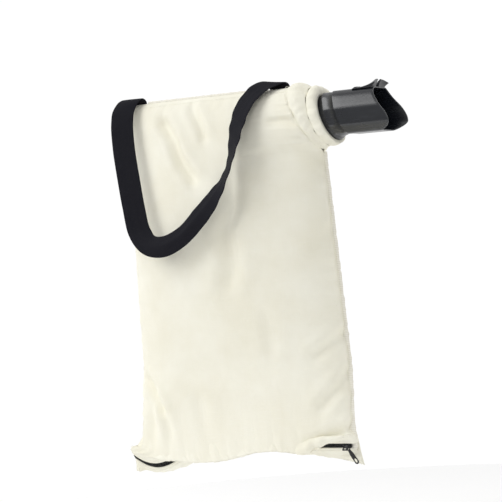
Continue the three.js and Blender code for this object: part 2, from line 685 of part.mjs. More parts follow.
// A bar of thread that holds an end of the strap down on the top seam.
function barTack(x) {
  const geometry = new THREE.CapsuleGeometry(1.1, WEBBING - 10, 4, 8);
  geometry.rotateZ(Math.PI / 2);
  geometry.translate(x, -WEBBING_THICK / 2 - 1.1 - 2 * GAP, TOP + 3.6);
  return toSolid(geometry);
}

// ---- assembly ----
const duct = new THREE.Group();
place(duct, "duct_shell", ductShell().add(catchLip(1)).add(catchLip(-1)), plastic);

const cuff = new THREE.Group();
place(cuff, "neck_hem", hem(), canvas);
place(cuff, "neck_elastic", elastic(), elasticWhite);

const sack = new THREE.Group();
place(sack, "front_panel", sheet(16, 26, frontSurface, CLOTH, denseEnds, denseEnds), canvas);
place(sack, "back_panel", sheet(16, 30, (u, v) => backSurface(1 - u, v), CLOTH, denseEnds, denseEnds), canvas);
place(sack, "neck_sleeve", neckSleeve(), canvas);
place(sack, "neck_welt", neckWelt(), seamThread);
place(sack, "side_seam_left", leftStrip(), seamThread);
place(sack, "side_seam_right", rightStrip(), seamThread);
place(sack, "top_seam", topStrip(), seamThread);
place(sack, "zip_tape_front", zipTape(1), tapeBlack);
place(sack, "zip_tape_back", zipTape(-1), tapeBlack);
place(sack, "zip_coil_front", zipCoil(1), nylonBlack);
place(sack, "zip_coil_back", zipCoil(-1), nylonBlack);
place(sack, "zip_stop_front", zipBlock([ZIP_RIGHT + 1.6, 2.2, TAPE / 2 + 1.2], [2, 2.4, 1.8], 0.15), paintedMetal);
place(sack, "zip_stop_back", zipBlock([ZIP_RIGHT + 1.6, -2.2, TAPE / 2 + 1.2], [2, 2.4, 1.8], 0.15), paintedMetal);
place(sack, "zip_bottom_stop", zipBottomStop(), paintedMetal);
place(sack, "strap_end_left", strapPiece(0, STRAP_HINGE_LEFT - HINGE_GAP, 10), webbingBlack);
place(
  sack,
  "strap_end_right",
  strapPiece(STRAP_HINGE_RIGHT + HINGE_GAP, STRAP_ROWS.length - 1, 10),
  webbingBlack,
);
place(sack, "bar_tack_left", barTack(STRAP_LEFT), seamThread);
place(sack, "bar_tack_right", barTack(STRAP_RIGHT), seamThread);

const strap = new THREE.Group();
place(
  strap,
  "shoulder_strap",
  strapPiece(STRAP_HINGE_LEFT + HINGE_GAP, STRAP_HINGE_RIGHT - HINGE_GAP, 44),
  webbingBlack,
);

const slider = new THREE.Group();
place(slider, "slider_body", sliderBody(), paintedMetal);
place(slider, "slider_bail", sliderBail(), paintedMetal);

const pull = new THREE.Group();
place(pull, "zip_pull", zipPull(), paintedMetal);

const bag = new THREE.Group();
bag.add(duct, cuff, sack, strap, slider, pull);
export default bag;
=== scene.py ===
"""Collection bag of a garden blower vacuum: canvas sack, moulded inlet duct, gathered neck, bottom zip, webbing strap.

Shapes are worked out in millimetres in the row frame: +X out of the duct's mouth, +Z up, the sack's front towards -Y.
"""
import math

import bmesh
import bpy
import numpy as np
from mathutils import Matrix, Vector


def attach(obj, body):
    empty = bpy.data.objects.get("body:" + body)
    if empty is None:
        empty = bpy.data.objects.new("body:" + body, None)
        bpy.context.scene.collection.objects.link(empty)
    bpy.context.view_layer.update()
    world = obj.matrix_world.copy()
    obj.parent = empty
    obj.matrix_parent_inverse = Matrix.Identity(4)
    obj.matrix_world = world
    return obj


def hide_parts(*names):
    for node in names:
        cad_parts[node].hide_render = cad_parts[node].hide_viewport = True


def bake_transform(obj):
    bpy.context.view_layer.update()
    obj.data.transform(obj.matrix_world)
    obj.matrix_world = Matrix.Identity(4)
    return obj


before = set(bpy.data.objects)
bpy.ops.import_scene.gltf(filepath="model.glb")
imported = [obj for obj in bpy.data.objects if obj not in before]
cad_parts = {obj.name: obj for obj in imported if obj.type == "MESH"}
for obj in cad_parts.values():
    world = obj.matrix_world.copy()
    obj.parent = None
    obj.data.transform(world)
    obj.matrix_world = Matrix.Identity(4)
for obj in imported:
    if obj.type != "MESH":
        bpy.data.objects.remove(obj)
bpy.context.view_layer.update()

MM = 0.001

# ---------------------------------------------------------------- camera, light and floor

CAMERA_AZIMUTH = 30.0
CAMERA_ELEVATION = 0.5
CAMERA_ROLL = 3.8
CAMERA_DISTANCE = 3.0
CAMERA_TARGET = (-0.223, 0.0, -0.2145)
CAMERA_LENS = 125.08


def place_camera():
    """The camera looks at the target from its azimuth and elevation, turned about its own axis by the roll."""
    azimuth, elevation, roll = np.radians([CAMERA_AZIMUTH, CAMERA_ELEVATION, CAMERA_ROLL])
    back = np.array(
        [
            math.sin(azimuth) * math.cos(elevation),
            -math.cos(azimuth) * math.cos(elevation),
            math.sin(elevation),
        ]
    )
    right = np.cross(-back, [0.0, 0.0, 1.0])
    right /= np.linalg.norm(right)
    up = np.cross(back, right)
    turned_right = right * math.cos(roll) - up * math.sin(roll)
    turned_up = right * math.sin(roll) + up * math.cos(roll)
    place = np.array(CAMERA_TARGET) + back * CAMERA_DISTANCE
    data = bpy.data.cameras.new("camera")
    data.lens = CAMERA_LENS
    data.sensor_width = 36.0
    data.clip_end = 100.0
    camera = bpy.data.objects.new("camera", data)
    bpy.context.collection.objects.link(camera)
    matrix = Matrix.Identity(4)
    for row in range(3):
        matrix[row][0] = turned_right[row]
        matrix[row][1] = turned_up[row]
        matrix[row][2] = back[row]
        matrix[row][3] = place[row]
    camera.matrix_world = matrix
    bpy.context.scene.camera = camera


def soft_light(name, place, target, size, power):
    """A square area light that faces a target."""
    data = bpy.data.lights.new(name, "AREA")
    data.size = size
    data.energy = power
    light = bpy.data.objects.new(name, data)
    bpy.context.collection.objects.link(light)
    light.location = place
    light.rotation_euler = (Vector(target) - Vector(place)).to_track_quat("-Z", "Y").to_euler()


place_camera()
soft_light("key_light", (-2.3, -1.7, 1.7), (-0.25, 0.0, -0.25), 2.4, 58.0)
soft_light("front_light", (0.9, -2.6, 0.6), (-0.2, 0.0, -0.2), 1.8, 13.0)
soft_light("back_light", (0.9, 2.2, 1.6), (-0.2, 0.0, -0.1), 1.2, 4.0)


def make_world():
    """Studio surroundings: white behind the object, and greyer towards the side that its front faces."""
    world = bpy.data.worlds.new("studio")
    bpy.context.scene.world = world
    world.use_nodes = True
    tree = world.node_tree
    where = tree.nodes.new("ShaderNodeTexCoord")
    split = tree.nodes.new("ShaderNodeSeparateXYZ")
    tree.nodes["Background"].inputs["Color"].default_value = (1.0, 1.0, 1.0, 1.0)
    light = tree.nodes.new("ShaderNodeMapRange")
    light.inputs["From Min"].default_value = -0.7
    light.inputs["From Max"].default_value = 0.5
    light.inputs["To Min"].default_value = 0.42
    light.inputs["To Max"].default_value = 1.02
    tree.links.new(where.outputs["Generated"], split.inputs["Vector"])
    tree.links.new(split.outputs["Y"], light.inputs["Value"])
    tree.links.new(light.outputs["Result"], tree.nodes["Background"].inputs["Strength"])


make_world()
bpy.context.scene.view_settings.view_transform = "Standard"
bpy.context.scene.view_settings.exposure = 0.0

# ---------------------------------------------------------------- small mathematics


def ease(t):
    """Smooth step: 3t^2 - 2t^3 of t held between 0 and 1."""
    t = np.clip(t, 0.0, 1.0)
    return t * t * (3.0 - 2.0 * t)


def mix(a, b, t):
    """The point a share t of the way from a to b."""
    return a + (b - a) * t


def stack(x, y, z):
    """Arrays of x, y and z as one array of points."""
    return np.stack(np.broadcast_arrays(x, y, z), axis=-1).astype(float)


def unit(vectors):
    """Vectors of length 1."""
    return vectors / np.maximum(np.linalg.norm(vectors, axis=-1, keepdims=True), 1e-9)


def ripple(t, seed, waves=5, lowest=1.0, highest=4.0):
    """A smooth irregular wave of t: a sum of sines with seeded pitches and phases, of size about 1."""
    rng = np.random.default_rng(seed)
    pitch = rng.uniform(lowest, highest, waves)
    phase = rng.uniform(0.0, 2.0 * math.pi, waves)
    total = sum(np.sin(2.0 * math.pi * p * t + q) for p, q in zip(pitch, phase))
    return total / math.sqrt(waves)


def grid_normals(points):
    """Normals of a grid of points: the cross product of its two directions' differences."""
    along = np.gradient(points, axis=0)
    across = np.gradient(points, axis=1)
    return unit(np.cross(along, across))


def outward_normals(points, outward):
    """A panel's normals, turned so that y at its middle has the sign of outward."""
    normals = grid_normals(points)
    if normals[points.shape[0] // 2, points.shape[1] // 2, 1] * outward < 0:
        normals = -normals
    return normals


def run_along(path):
    """Distance along a path at each of its points: the running sum of its steps' lengths."""
    return np.concatenate([[0], np.cumsum(np.linalg.norm(np.diff(path, axis=0), axis=1))])


def pair(u, v):
    """Two arrays that broadcast to a grid, as one grid of cloth coordinates."""
    return np.stack(np.broadcast_arrays(u, v), axis=-1)


def sample(grid, u, v):
    """Points of a grid at shares u along its rows and v along its columns, by bilinear mixing."""
    rows, columns = grid.shape[0] - 1, grid.shape[1] - 1
    a = np.clip(np.asarray(u, float) * rows, 0, rows - 1e-6)
    b = np.clip(np.asarray(v, float) * columns, 0, columns - 1e-6)
    i, j = a.astype(int), b.astype(int)
    s, t = (a - i)[..., None], (b - j)[..., None]
    low = mix(grid[i, j], grid[i + 1, j], s)
    high = mix(grid[i, j + 1], grid[i + 1, j + 1], s)
    return mix(low, high, t)


# ---------------------------------------------------------------- meshes


def make_piece(name, vertices, faces, finish, body=None, uv=None, smooth=True, solid=True):
    """An object from vertices in millimetres and lists of faces. A solid's normals are turned out; uv is per corner."""
    mesh = bpy.data.meshes.new(name)
    mesh.from_pydata((np.asarray(vertices) * MM).tolist(), [], [list(map(int, f)) for f in faces])
    if uv is not None:
        layer = mesh.uv_layers.new(name="Cloth")
        layer.data.foreach_set("uv", np.asarray(uv, np.float32).ravel())
    mesh.polygons.foreach_set("use_smooth", [smooth] * len(mesh.polygons))
    mesh.update()
    if solid:
        work = bmesh.new()
        work.from_mesh(mesh)
        bmesh.ops.recalc_face_normals(work, faces=work.faces)
        work.to_mesh(mesh)
        work.free()
    piece = bpy.data.objects.new(name, mesh)
    bpy.context.collection.objects.link(piece)
    mesh.materials.append(finish)
    if body:
        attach(piece, body)
    return piece


def grid_faces(rows, columns, wrap_rows=False, wrap_columns=False):
    """Quads of a grid, as vertex numbers and as numbers in a grid that has its wrapped lines twice."""
    ids = np.arange(rows * columns).reshape(rows, columns)
    if wrap_rows:
        ids = np.vstack([ids, ids[:1]])
    if wrap_columns:
        ids = np.hstack([ids, ids[:, :1]])
    flat = np.arange(ids.size).reshape(ids.shape)

    def corners(a):
        return np.stack([a[:-1, :-1], a[1:, :-1], a[1:, 1:], a[:-1, 1:]], axis=-1).reshape(-1, 4)

    return corners(ids), corners(flat), ids.shape


def surface(name, points, finish, body=None, wrap_rows=False, wrap_columns=False, uv=None, caps=False, **more):
    """A piece from a grid of points. caps closes the first and last row of a tube whose columns wrap."""
    rows, columns = points.shape[:2]
    quads, corners, shape = grid_faces(rows, columns, wrap_rows, wrap_columns)
    if uv is None:
        u, v = np.meshgrid(np.linspace(0, 1, shape[0]), np.linspace(0, 1, shape[1]), indexing="ij")
        uv = np.stack([u, v], axis=-1)
    corner_uv = uv.reshape(-1, 2)[corners].reshape(-1, 2)
    faces = quads.tolist()
    if caps:
        first = list(range(columns))
        last = [(rows - 1) * columns + k for k in first]
        faces += [first[::-1], last]
        corner_uv = np.vstack([corner_uv, np.zeros((2 * columns, 2))])
    return make_piece(name, points.reshape(-1, 3), faces, finish, body, uv=corner_uv, **more)


def copies(vertices, faces, places, turns):
    """Many copies of a small shape: each is turned by its 3 by 3 matrix and moved to its place."""
    placed = np.einsum("mij,nj->mni", turns, vertices) + places[:, None, :]
    shift = (np.arange(len(places)) * len(vertices))[:, None, None]
    return placed.reshape(-1, 3), (faces[None] + shift).reshape(-1, faces.shape[1])


def beads(length, radius, places, turns, sides=6, rings=5):
    """Stitches lying along x: circles whose radius is that of an ellipse, closed to a point at both ends."""
    t = np.linspace(-0.96, 0.96, rings)
    angle = np.linspace(0, 2 * math.pi, sides, endpoint=False)
    r = radius * np.sqrt(1 - t**2)
    points = stack(t[:, None] * length / 2, r[:, None] * np.cos(angle), r[:, None] * np.sin(angle))
    shape = np.vstack([points.reshape(-1, 3), [[-length / 2, 0, 0], [length / 2, 0, 0]]])
    quads, _, _ = grid_faces(rings, sides, wrap_columns=True)
    low, high = rings * sides, rings * sides + 1
    first = np.arange(sides)
    following = (first + 1) % sides
    last = low - sides
    near = np.stack([first, np.full(sides, low), following], axis=1)
    far = np.stack([last + first, last + following, np.full(sides, high)], axis=1)
    vertices, bodies = copies(shape, quads, places, turns)
    _, tips = copies(shape, np.vstack([near, far]), places, turns)
    return vertices, bodies.tolist() + tips.tolist()


def stitches(name, lines, finish, body, pitch=3.6, length=2.7, radius=0.42):
    """Rows of stitches: beads of thread at an even pitch along each line of (points, normals), half sunk in cloth."""
    places, turns = [], []
    for points, normals in lines:
        run = run_along(points)
        at = np.arange(pitch / 2, run[-1], pitch)
        spot = np.stack([np.interp(at, run, points[:, k]) for k in range(3)], axis=1)
        ahead = np.stack([np.interp(at + 0.5, run, points[:, k]) for k in range(3)], axis=1)
        out = unit(np.stack([np.interp(at, run, normals[:, k]) for k in range(3)], axis=1))
        along = unit(ahead - spot + 1e-6)
        side = unit(np.cross(out, along))
        places.append(spot + out * radius * 0.55)
        turns.append(np.stack([along, side, np.cross(along, side)], axis=-1))
    vertices, faces = beads(length, radius, np.vstack(places), np.vstack(turns))
    return make_piece(name, vertices, faces, finish, body)


def finish_with(piece, thickness=None, subdivide=0, bevel=None):
    """Live modifiers on a piece: a wall behind its surface, rounded edges, or a smoother mesh."""
    if subdivide:
        smoother = piece.modifiers.new("smooth", "SUBSURF")
        smoother.levels = subdivide
        smoother.render_levels = subdivide
    if thickness:
        wall = piece.modifiers.new("wall", "SOLIDIFY")
        wall.thickness = thickness * MM
        wall.offset = -1.0
    if bevel:
        rounding = piece.modifiers.new("rounding", "BEVEL")
        rounding.width = bevel * MM
        rounding.segments = 2
        rounding.limit_method = "ANGLE"
    return piece


# ---------------------------------------------------------------- finishes


class Finish:
    """A material's nodes, made one line at a time."""

    def __init__(self, name, colour, roughness, metallic=0.0, **constants):
        self.material = bpy.data.materials.new(name)
        self.material.use_nodes = True
        self.tree = self.material.node_tree
        self.shader = self.tree.nodes["Principled BSDF"]
        self.shader.inputs["Base Color"].default_value = (*colour, 1.0)
        self.shader.inputs["Roughness"].default_value = roughness
        self.shader.inputs["Metallic"].default_value = metallic
        for socket, value in constants.items():
            self.shader.inputs[socket.replace("_", " ").title().replace("Ior", "IOR")].default_value = value
        self.coordinates = self.tree.nodes.new("ShaderNodeTexCoord")

    def put(self, socket, value):
        """Gives a socket a value or links it to another node's output."""
        if isinstance(value, bpy.types.NodeSocket):
            self.tree.links.new(value, socket)
        else:
            socket.default_value = value

    def where(self, scale=(1, 1, 1), turn=0.0, source="Object"):
        """Coordinates scaled and turned about Z."""
        mapping = self.tree.nodes.new("ShaderNodeMapping")
        mapping.inputs["Scale"].default_value = scale
        mapping.inputs["Rotation"].default_value = (0.0, 0.0, turn)
        self.tree.links.new(self.coordinates.outputs[source], mapping.inputs["Vector"])
        return mapping.outputs["Vector"]

    def noise(self, where, scale, detail=2.0, roughness=0.5, distortion=0.0):
        node = self.tree.nodes.new("ShaderNodeTexNoise")
        self.put(node.inputs["Vector"], where)
        node.inputs["Scale"].default_value = scale
        node.inputs["Detail"].default_value = detail
        node.inputs["Roughness"].default_value = roughness
        node.inputs["Distortion"].default_value = distortion
        return node.outputs["Fac"]

    def wave(self, where, scale, direction="X", distortion=0.0):
        node = self.tree.nodes.new("ShaderNodeTexWave")
        node.bands_direction = direction
        self.put(node.inputs["Vector"], where)
        node.inputs["Scale"].default_value = scale
        node.inputs["Distortion"].default_value = distortion
        node.inputs["Detail"].default_value = 1.0
        return node.outputs["Fac"]

    def spread(self, value, low, high, to_low=0.0, to_high=1.0):
        """A value stretched from its range low to high onto another range."""
        node = self.tree.nodes.new("ShaderNodeMapRange")
        self.put(node.inputs["Value"], value)
        node.inputs["From Min"].default_value = low
        node.inputs["From Max"].default_value = high
        node.inputs["To Min"].default_value = to_low
        node.inputs["To Max"].default_value = to_high
        return node.outputs["Result"]

    def sums(self, operation, a, b):
        node = self.tree.nodes.new("ShaderNodeMath")
        node.operation = operation
        self.put(node.inputs[0], a)
        self.put(node.inputs[1], b)
        return node.outputs["Value"]

    def blend(self, share, a, b):
        """A colour between a and b."""
        node = self.tree.nodes.new("ShaderNodeMix")
        node.data_type = "RGBA"
        self.put(node.inputs[0], share)
        for socket, colour in ((node.inputs[6], a), (node.inputs[7], b)):
            self.put(socket, colour if isinstance(colour, bpy.types.NodeSocket) else (*colour, 1.0))
        return node.outputs[2]

    def colour(self, value):
        self.put(self.shader.inputs["Base Color"], value)

    def rough(self, value):
        self.put(self.shader.inputs["Roughness"], value)

    def bumps(self, *layers):
        """Height layers of (height, distance in millimetres, strength), one on top of the other."""
        normal = None
        for height, distance, strength in layers:
            node = self.tree.nodes.new("ShaderNodeBump")
            self.put(node.inputs["Height"], height)
            node.inputs["Distance"].default_value = distance * MM
            node.inputs["Strength"].default_value = strength
            if normal is not None:
                self.put(node.inputs["Normal"], normal)
            normal = node.outputs["Normal"]
        self.put(self.shader.inputs["Normal"], normal)


def canvas_finish(name, light=(0.93, 0.91, 0.79), shade=(0.87, 0.84, 0.70), slack=0.7):
    """Unbleached plain-weave cotton: crossed yarns, thicker slubs along both, faint seed flecks and soft creasing."""
    f = Finish(name, light, 0.92, sheen_weight=0.15, sheen_roughness=0.6)
    cloth = f.where(source="UV")
    patch = f.noise(cloth, 9.0, 3.0, 0.55)
    warp_slub = f.noise(f.where((1400, 26, 1), source="UV"), 1.0, 2.0)
    weft_slub = f.noise(f.where((26, 1400, 1), source="UV"), 1.0, 2.0)
    slub = f.sums("ADD", f.spread(warp_slub, 0.52, 0.78), f.spread(weft_slub, 0.52, 0.78))
    fleck = f.spread(f.noise(cloth, 900.0, 1.0), 0.74, 0.80)
    tone = f.blend(f.spread(patch, 0.35, 0.68), shade, light)
    tone = f.blend(f.sums("MULTIPLY", slub, 0.22), tone, (0.97, 0.955, 0.89))
    tone = f.blend(f.sums("MULTIPLY", fleck, 0.45), tone, (0.52, 0.42, 0.28))
    f.colour(tone)
    warp = f.wave(cloth, 330.0, "X", 0.4)
    weft = f.wave(cloth, 330.0, "Y", 0.4)
    weave = f.sums("MAXIMUM", warp, weft)
    creases = f.noise(cloth, 26.0, 3.0, 0.6, 0.8)
    crumple = f.noise(cloth, 85.0, 2.0, 0.5)
    f.bumps((weave, 0.12, 0.6), (slub, 0.10, 0.5), (crumple, 0.55, slack * 0.5), (creases, 1.8, slack))
    f.rough(f.spread(patch, 0.3, 0.7, 0.88, 0.97))
    return f.material


def thread_finish():
    """Twisted cotton thread: fine slanted turns and a soft sheen."""
    f = Finish("cotton_thread", (0.90, 0.87, 0.76), 0.8, sheen_weight=0.2)
    twist = f.wave(f.where((900, 900, 900), turn=0.7), 1.0, "DIAGONAL", 0.5)
    # Colour follows the twist's height: darker in the grooves between the turns, which is painted shade; the bump
    # shapes the same grooves.
    f.colour(f.blend(twist, (0.80, 0.765, 0.64), (0.95, 0.93, 0.85)))
    f.bumps((twist, 0.08, 0.5))
    return f.material


def overlock_finish():
    """Overlocked seam edge: canvas under close loops of thread that run across it."""
    f = Finish("overlocked_edge", (0.86, 0.83, 0.72), 0.9, sheen_weight=0.15)
    edge = f.where(source="UV")
    loops = f.wave(edge, 105.0, "Y", 1.2)
    fibres = f.noise(f.where((300, 2000, 1), source="UV"), 1.0, 2.0)
    # Darker between the loops, where the bump sinks: painted shade between the thread's loops.
    tone = f.blend(loops, (0.80, 0.77, 0.66), (0.93, 0.905, 0.80))
    f.colour(f.blend(f.sums("MULTIPLY", fibres, 0.3), tone, (0.97, 0.95, 0.88)))
    f.bumps((loops, 0.5, 0.7), (fibres, 0.08, 0.4))
    return f.material


def webbing_finish():
    """Black polypropylene webbing: herringbone ribs along its length, tight edges and a little dust."""
    f = Finish("strap_webbing", (0.006, 0.006, 0.008), 0.8, specular_ior_level=0.18)
    length = f.where(source="UV")
    ribs = f.wave(f.where((1, 1, 1), turn=0.62, source="UV"), 165.0, "X", 0.2)
    counter = f.wave(f.where((1, 1, 1), turn=-0.62, source="UV"), 165.0, "X", 0.2)
    panels = f.wave(length, 26.0, "X", 0.0)
    which = f.spread(panels, 0.45, 0.55)
    height = f.sums("ADD", f.sums("MULTIPLY", ribs, which), f.sums("MULTIPLY", counter, f.spread(which, 0, 1, 1, 0)))
    fibres = f.noise(f.where((2600, 240, 1), source="UV"), 1.0, 3.0)
    dust = f.noise(length, 60.0, 4.0, 0.6)
    # Lighter on the ribs and darker in the grooves between them, following the bump's height: painted shade.
    tone = f.blend(height, (0.003, 0.003, 0.005), (0.010, 0.010, 0.016))
    tone = f.blend(f.sums("MULTIPLY", fibres, 0.3), tone, (0.018, 0.018, 0.025))
    f.colour(f.blend(f.spread(dust, 0.62, 0.85, 0.0, 0.12), tone, (0.06, 0.06, 0.058)))
    f.rough(f.spread(fibres, 0.2, 0.8, 0.7, 0.9))
    f.bumps((height, 0.32, 0.7), (fibres, 0.06, 0.5))
    return f.material


def tape_finish():
    """Woven zip tape: fine twill in black polyester."""
    f = Finish("zip_tape", (0.008, 0.008, 0.009), 0.8, specular_ior_level=0.2)
    twill = f.wave(f.where((1, 1, 1), turn=0.8, source="UV"), 300.0, "X", 0.2)
    fibres = f.noise(f.where((500, 2500, 1), source="UV"), 1.0, 2.0)
    # Darker in the twill's grooves, following the bump's height: painted shade.
    tone = f.blend(twill, (0.006, 0.006, 0.007), (0.020, 0.020, 0.022))
    f.colour(f.blend(f.sums("MULTIPLY", fibres, 0.3), tone, (0.04, 0.04, 0.042)))
    f.rough(f.spread(fibres, 0.2, 0.8, 0.6, 0.85))
    f.bumps((twill, 0.12, 0.6))
    return f.material


def teeth_finish():
    """Nylon coil of the zip: black, half gloss, with a drawn grain."""
    f = Finish("zip_nylon", (0.010, 0.010, 0.011), 0.32, specular_ior_level=0.5)
    grain = f.noise(f.where((600, 3000, 3000)), 1.0, 2.0)
    f.colour(f.blend(grain, (0.007, 0.007, 0.008), (0.020, 0.020, 0.021)))
    f.rough(f.spread(grain, 0.3, 0.7, 0.25, 0.42))
    f.bumps((grain, 0.03, 0.4))
    return f.material


def lacquer_finish():
    """Black lacquered zinc of the slider and its pull: small orange peel, and grey metal where it has rubbed."""
    f = Finish("lacquered_zinc", (0.016, 0.016, 0.017), 0.34, metallic=0.15, coat_weight=0.2, coat_roughness=0.2)
    peel = f.noise(f.where(), 2200.0, 2.0)
    rub = f.noise(f.where((1, 1, 1)), 420.0, 4.0, 0.65)
    worn = f.spread(rub, 0.66, 0.72)
    f.colour(f.blend(worn, (0.013, 0.013, 0.014), (0.23, 0.225, 0.215)))
    f.rough(f.spread(rub, 0.3, 0.75, 0.26, 0.5))
    f.bumps((peel, 0.03, 0.5))
    return f.material


def duct_finish():
    """Moulded polypropylene: blue-black, a fine spark texture, faint flow marks and rubbed streaks along its length."""
    f = Finish("moulded_duct", (0.010, 0.011, 0.014), 0.3, specular_ior_level=0.75)
    spark = f.noise(f.where(), 1500.0, 3.0, 0.6)
    flow = f.noise(f.where((4, 18, 18)), 1.0, 3.0, 0.5, 0.6)
    streaks = f.noise(f.where((14, 420, 420)), 1.0, 3.0, 0.6)
    worn = f.spread(streaks, 0.60, 0.78)
    tone = f.blend(flow, (0.005, 0.006, 0.009), (0.011, 0.013, 0.018))
    f.colour(f.blend(f.sums("MULTIPLY", worn, 0.35), tone, (0.045, 0.05, 0.06)))
    f.rough(f.sums("ADD", f.spread(flow, 0.2, 0.8, 0.20, 0.32), f.spread(worn, 0, 1, 0.0, 0.12)))
    f.bumps((spark, 0.10, 0.45), (flow, 0.4, 0.15))
    return f.material


def elastic_finish():
    """Covered elastic: a white braid over rubber."""
    f = Finish("braided_elastic", (0.85, 0.84, 0.80), 0.8, sheen_weight=0.2)
    braid = f.wave(f.where((1, 1, 1), turn=0.6), 300.0, "DIAGONAL", 0.6)
    # Darker in the braid's grooves, following the bump's height: painted shade.
    f.colour(f.blend(braid, (0.70, 0.69, 0.64), (0.92, 0.91, 0.88)))
    f.bumps((braid, 0.12, 0.6))
    return f.material


def floor_finish():
    """Pale matt studio floor with the slightest mottling."""
    f = Finish("studio_floor", (0.96, 0.96, 0.96), 0.95)
    mottle = f.noise(f.where(), 1.5, 3.0)
    f.colour(f.blend(mottle, (0.955, 0.955, 0.955), (0.97, 0.97, 0.97)))
    return f.material


CANVAS = canvas_finish("cotton_canvas")
GATHERED = canvas_finish("gathered_canvas", slack=1.0)
THREAD = thread_finish()
OVERLOCK = overlock_finish()
WEBBING = webbing_finish()
TAPE = tape_finish()
TEETH = teeth_finish()
LACQUER = lacquer_finish()
DUCT = duct_finish()
ELASTIC = elastic_finish()

FLOOR_Z = -760.0


def make_floor():
    """A flat disc under the hanging bag: evenly spaced rings of points."""
    radius = 1250.0 * np.linspace(0.05, 1.0, 12)
    angle = np.linspace(0, 2 * math.pi, 48, endpoint=False)
    points = stack(radius[:, None] * np.cos(angle), radius[:, None] * np.sin(angle), FLOOR_Z)
    floor = surface("studio_floor", points, floor_finish(), wrap_columns=True, solid=False)
    faces = floor.data
    if faces.polygons[0].normal.z < 0:
        faces.flip_normals()
    middle = make_piece(
        "studio_floor_middle", points[0], [list(range(48))], floor_finish(), solid=False
    )


make_floor()

# ---------------------------------------------------------------- sizes shared with the solids

CLOTH = 1.4
NECK_TOP, NECK_LOW = 57.0, -50.0
NECK_HALF_DEPTH = 46.0
NECK_X_TOP, NECK_X_LOW = -124.0, -70.0
TOP = 57.0
LEFT = -456.0
RIGHT_TOP, RIGHT_LOW = -70.0, -40.0
DEPTH = 72.0
SEAM_HALF = 1.7
SEAM_FORWARD = -16.0
EAR_LEFT = (-486.0, -598.0)
EAR_RIGHT = (-29.0, -584.0)
ZIP_Z, ZIP_Y = -546.0, -18.0
ZIP_RIGHT, ZIP_LEFT, ZIP_STRAIGHT_END = -46.0, -482.0, -330.0
ZIP_DROP = 36.0
ZIP_TILT = math.radians(40.0)
TAPE_WIDTH, TAPE_INNER, TAPE_THICK = 13.0, 1.3, 0.9
LAP_EDGE, LAP_START = 5.6, 14.5
FOLD_Y, FOLD_DROP = 6.0, 6.0
COIL_LIFT, COIL_HEIGHT = 0.5, 1.7
SLIDER_X = ZIP_RIGHT - 7.0
PLATE_TOP = TAPE_THICK / 2 + COIL_LIFT + COIL_HEIGHT + 0.6 + 1.1

ZIP_OUT = np.array([0.0, -math.cos(ZIP_TILT), -math.sin(ZIP_TILT)])
ZIP_UP = np.array([0.0, -math.sin(ZIP_TILT), math.cos(ZIP_TILT)])


def zip_dip(x):
    """How far the zip lies below its straight run: an eased fall to the left, then a part of a parabola up again."""
    s = np.clip((ZIP_STRAIGHT_END - x) / (ZIP_STRAIGHT_END - ZIP_LEFT), 0, 1)
    lowest = 0.68
    rise = ZIP_DROP * (1 - 0.5 * ((s - lowest) / (1 - lowest)) ** 2)
    return np.where(s < lowest, ZIP_DROP * ease(s / lowest), rise)


def zip_point(x, across, out):
    """A point at x along the zip, across its face and out of it."""
    x, across, out = np.broadcast_arrays(np.asarray(x, float), across, out)
    base = stack(x, ZIP_Y, ZIP_Z - zip_dip(x))
    return base + across[..., None] * ZIP_UP + out[..., None] * ZIP_OUT


def left_seam(z):
    """x of the left side seam: rounded in at the top corner and out into the ear."""
    corner = 20 * np.clip((z - (TOP - 30)) / 30, 0, 1) ** 2
    return LEFT + corner + (EAR_LEFT[0] - LEFT) * ease((-530 - z) / 44)


def right_seam(z):
    """x of the right side seam: along the neck's slant, then straight down and slightly out."""
    neck = mix(NECK_X_LOW, NECK_X_TOP, np.clip((z - NECK_LOW) / (NECK_TOP - NECK_LOW), 0, 1))
    side = mix(RIGHT_TOP, RIGHT_LOW, np.clip((NECK_LOW - z) / (NECK_LOW - ZIP_Z), 0, 1))
    return np.where(z > NECK_LOW, neck, side)


def seam_y(z):
    """Depth of the side seams: forward where they pass the zip's ends."""
    return SEAM_FORWARD * (ease((-400 - z) / 130) - 0.5 * ease((-556 - z) / 36))


def neck_depth(z):
    """Half depth of the neck's opening at a height: an ellipse."""
    middle, half = (NECK_TOP + NECK_LOW) / 2, (NECK_TOP - NECK_LOW) / 2
    return NECK_HALF_DEPTH * np.sqrt(np.clip(1 - ((z - middle) / half) ** 2, 0, None))


def fullness(u):
    """Share of the pillow's depth across its width: a flat-topped power curve that is 0 at both side seams."""
    return (1 - np.abs(2 * u - 1) ** 2.4) ** 0.6


def back_seam_y(z):
    """Depth of the back panel's side edges: behind the seam, and a little further back beside the zip."""
    return seam_y(z) + SEAM_HALF + 3 * ease((-480 - z) / 60)


def bulge(u, v, z):
    """The pillow: a flat-topped power curve across times a sine's root down, with the neck's ellipse at the right."""
    across = fullness(u)
    down = np.clip(np.sin(math.pi * v), 0, None) ** 0.55
    return DEPTH * across * down + neck_depth(z) * u**4 * (1 - 0.3 * across)


LAP_RIGHT = -37.0


def lap_point(u, share, side):
    """The panels' laps over the zip's tapes."""
    x = mix(ZIP_LEFT, LAP_RIGHT, u)
    return zip_point(x, side * mix(LAP_START, LAP_EDGE, share), TAPE_THICK / 2 + 0.4 + 1.6)


FRONT_LAP = 0.985
CORNER = 0.012
# The front's cloth hangs over the zip: lowest z of the belly at x, reached at a share of the way down.
BELLY_SHARE = 0.945
BELLY_LINE = [
    (-482, -545), (-462, -552), (-441, -559), (-420, -567), (-400, -570), (-385, -570), (-370, -573), (-328, -573),
    (-290, -570), (-263, -565), (-216, -554), (-179, -552), (-150, -555), (-125, -558), (-105, -554), (-84, -543),
    (-68, -536), (-46, -524),
]


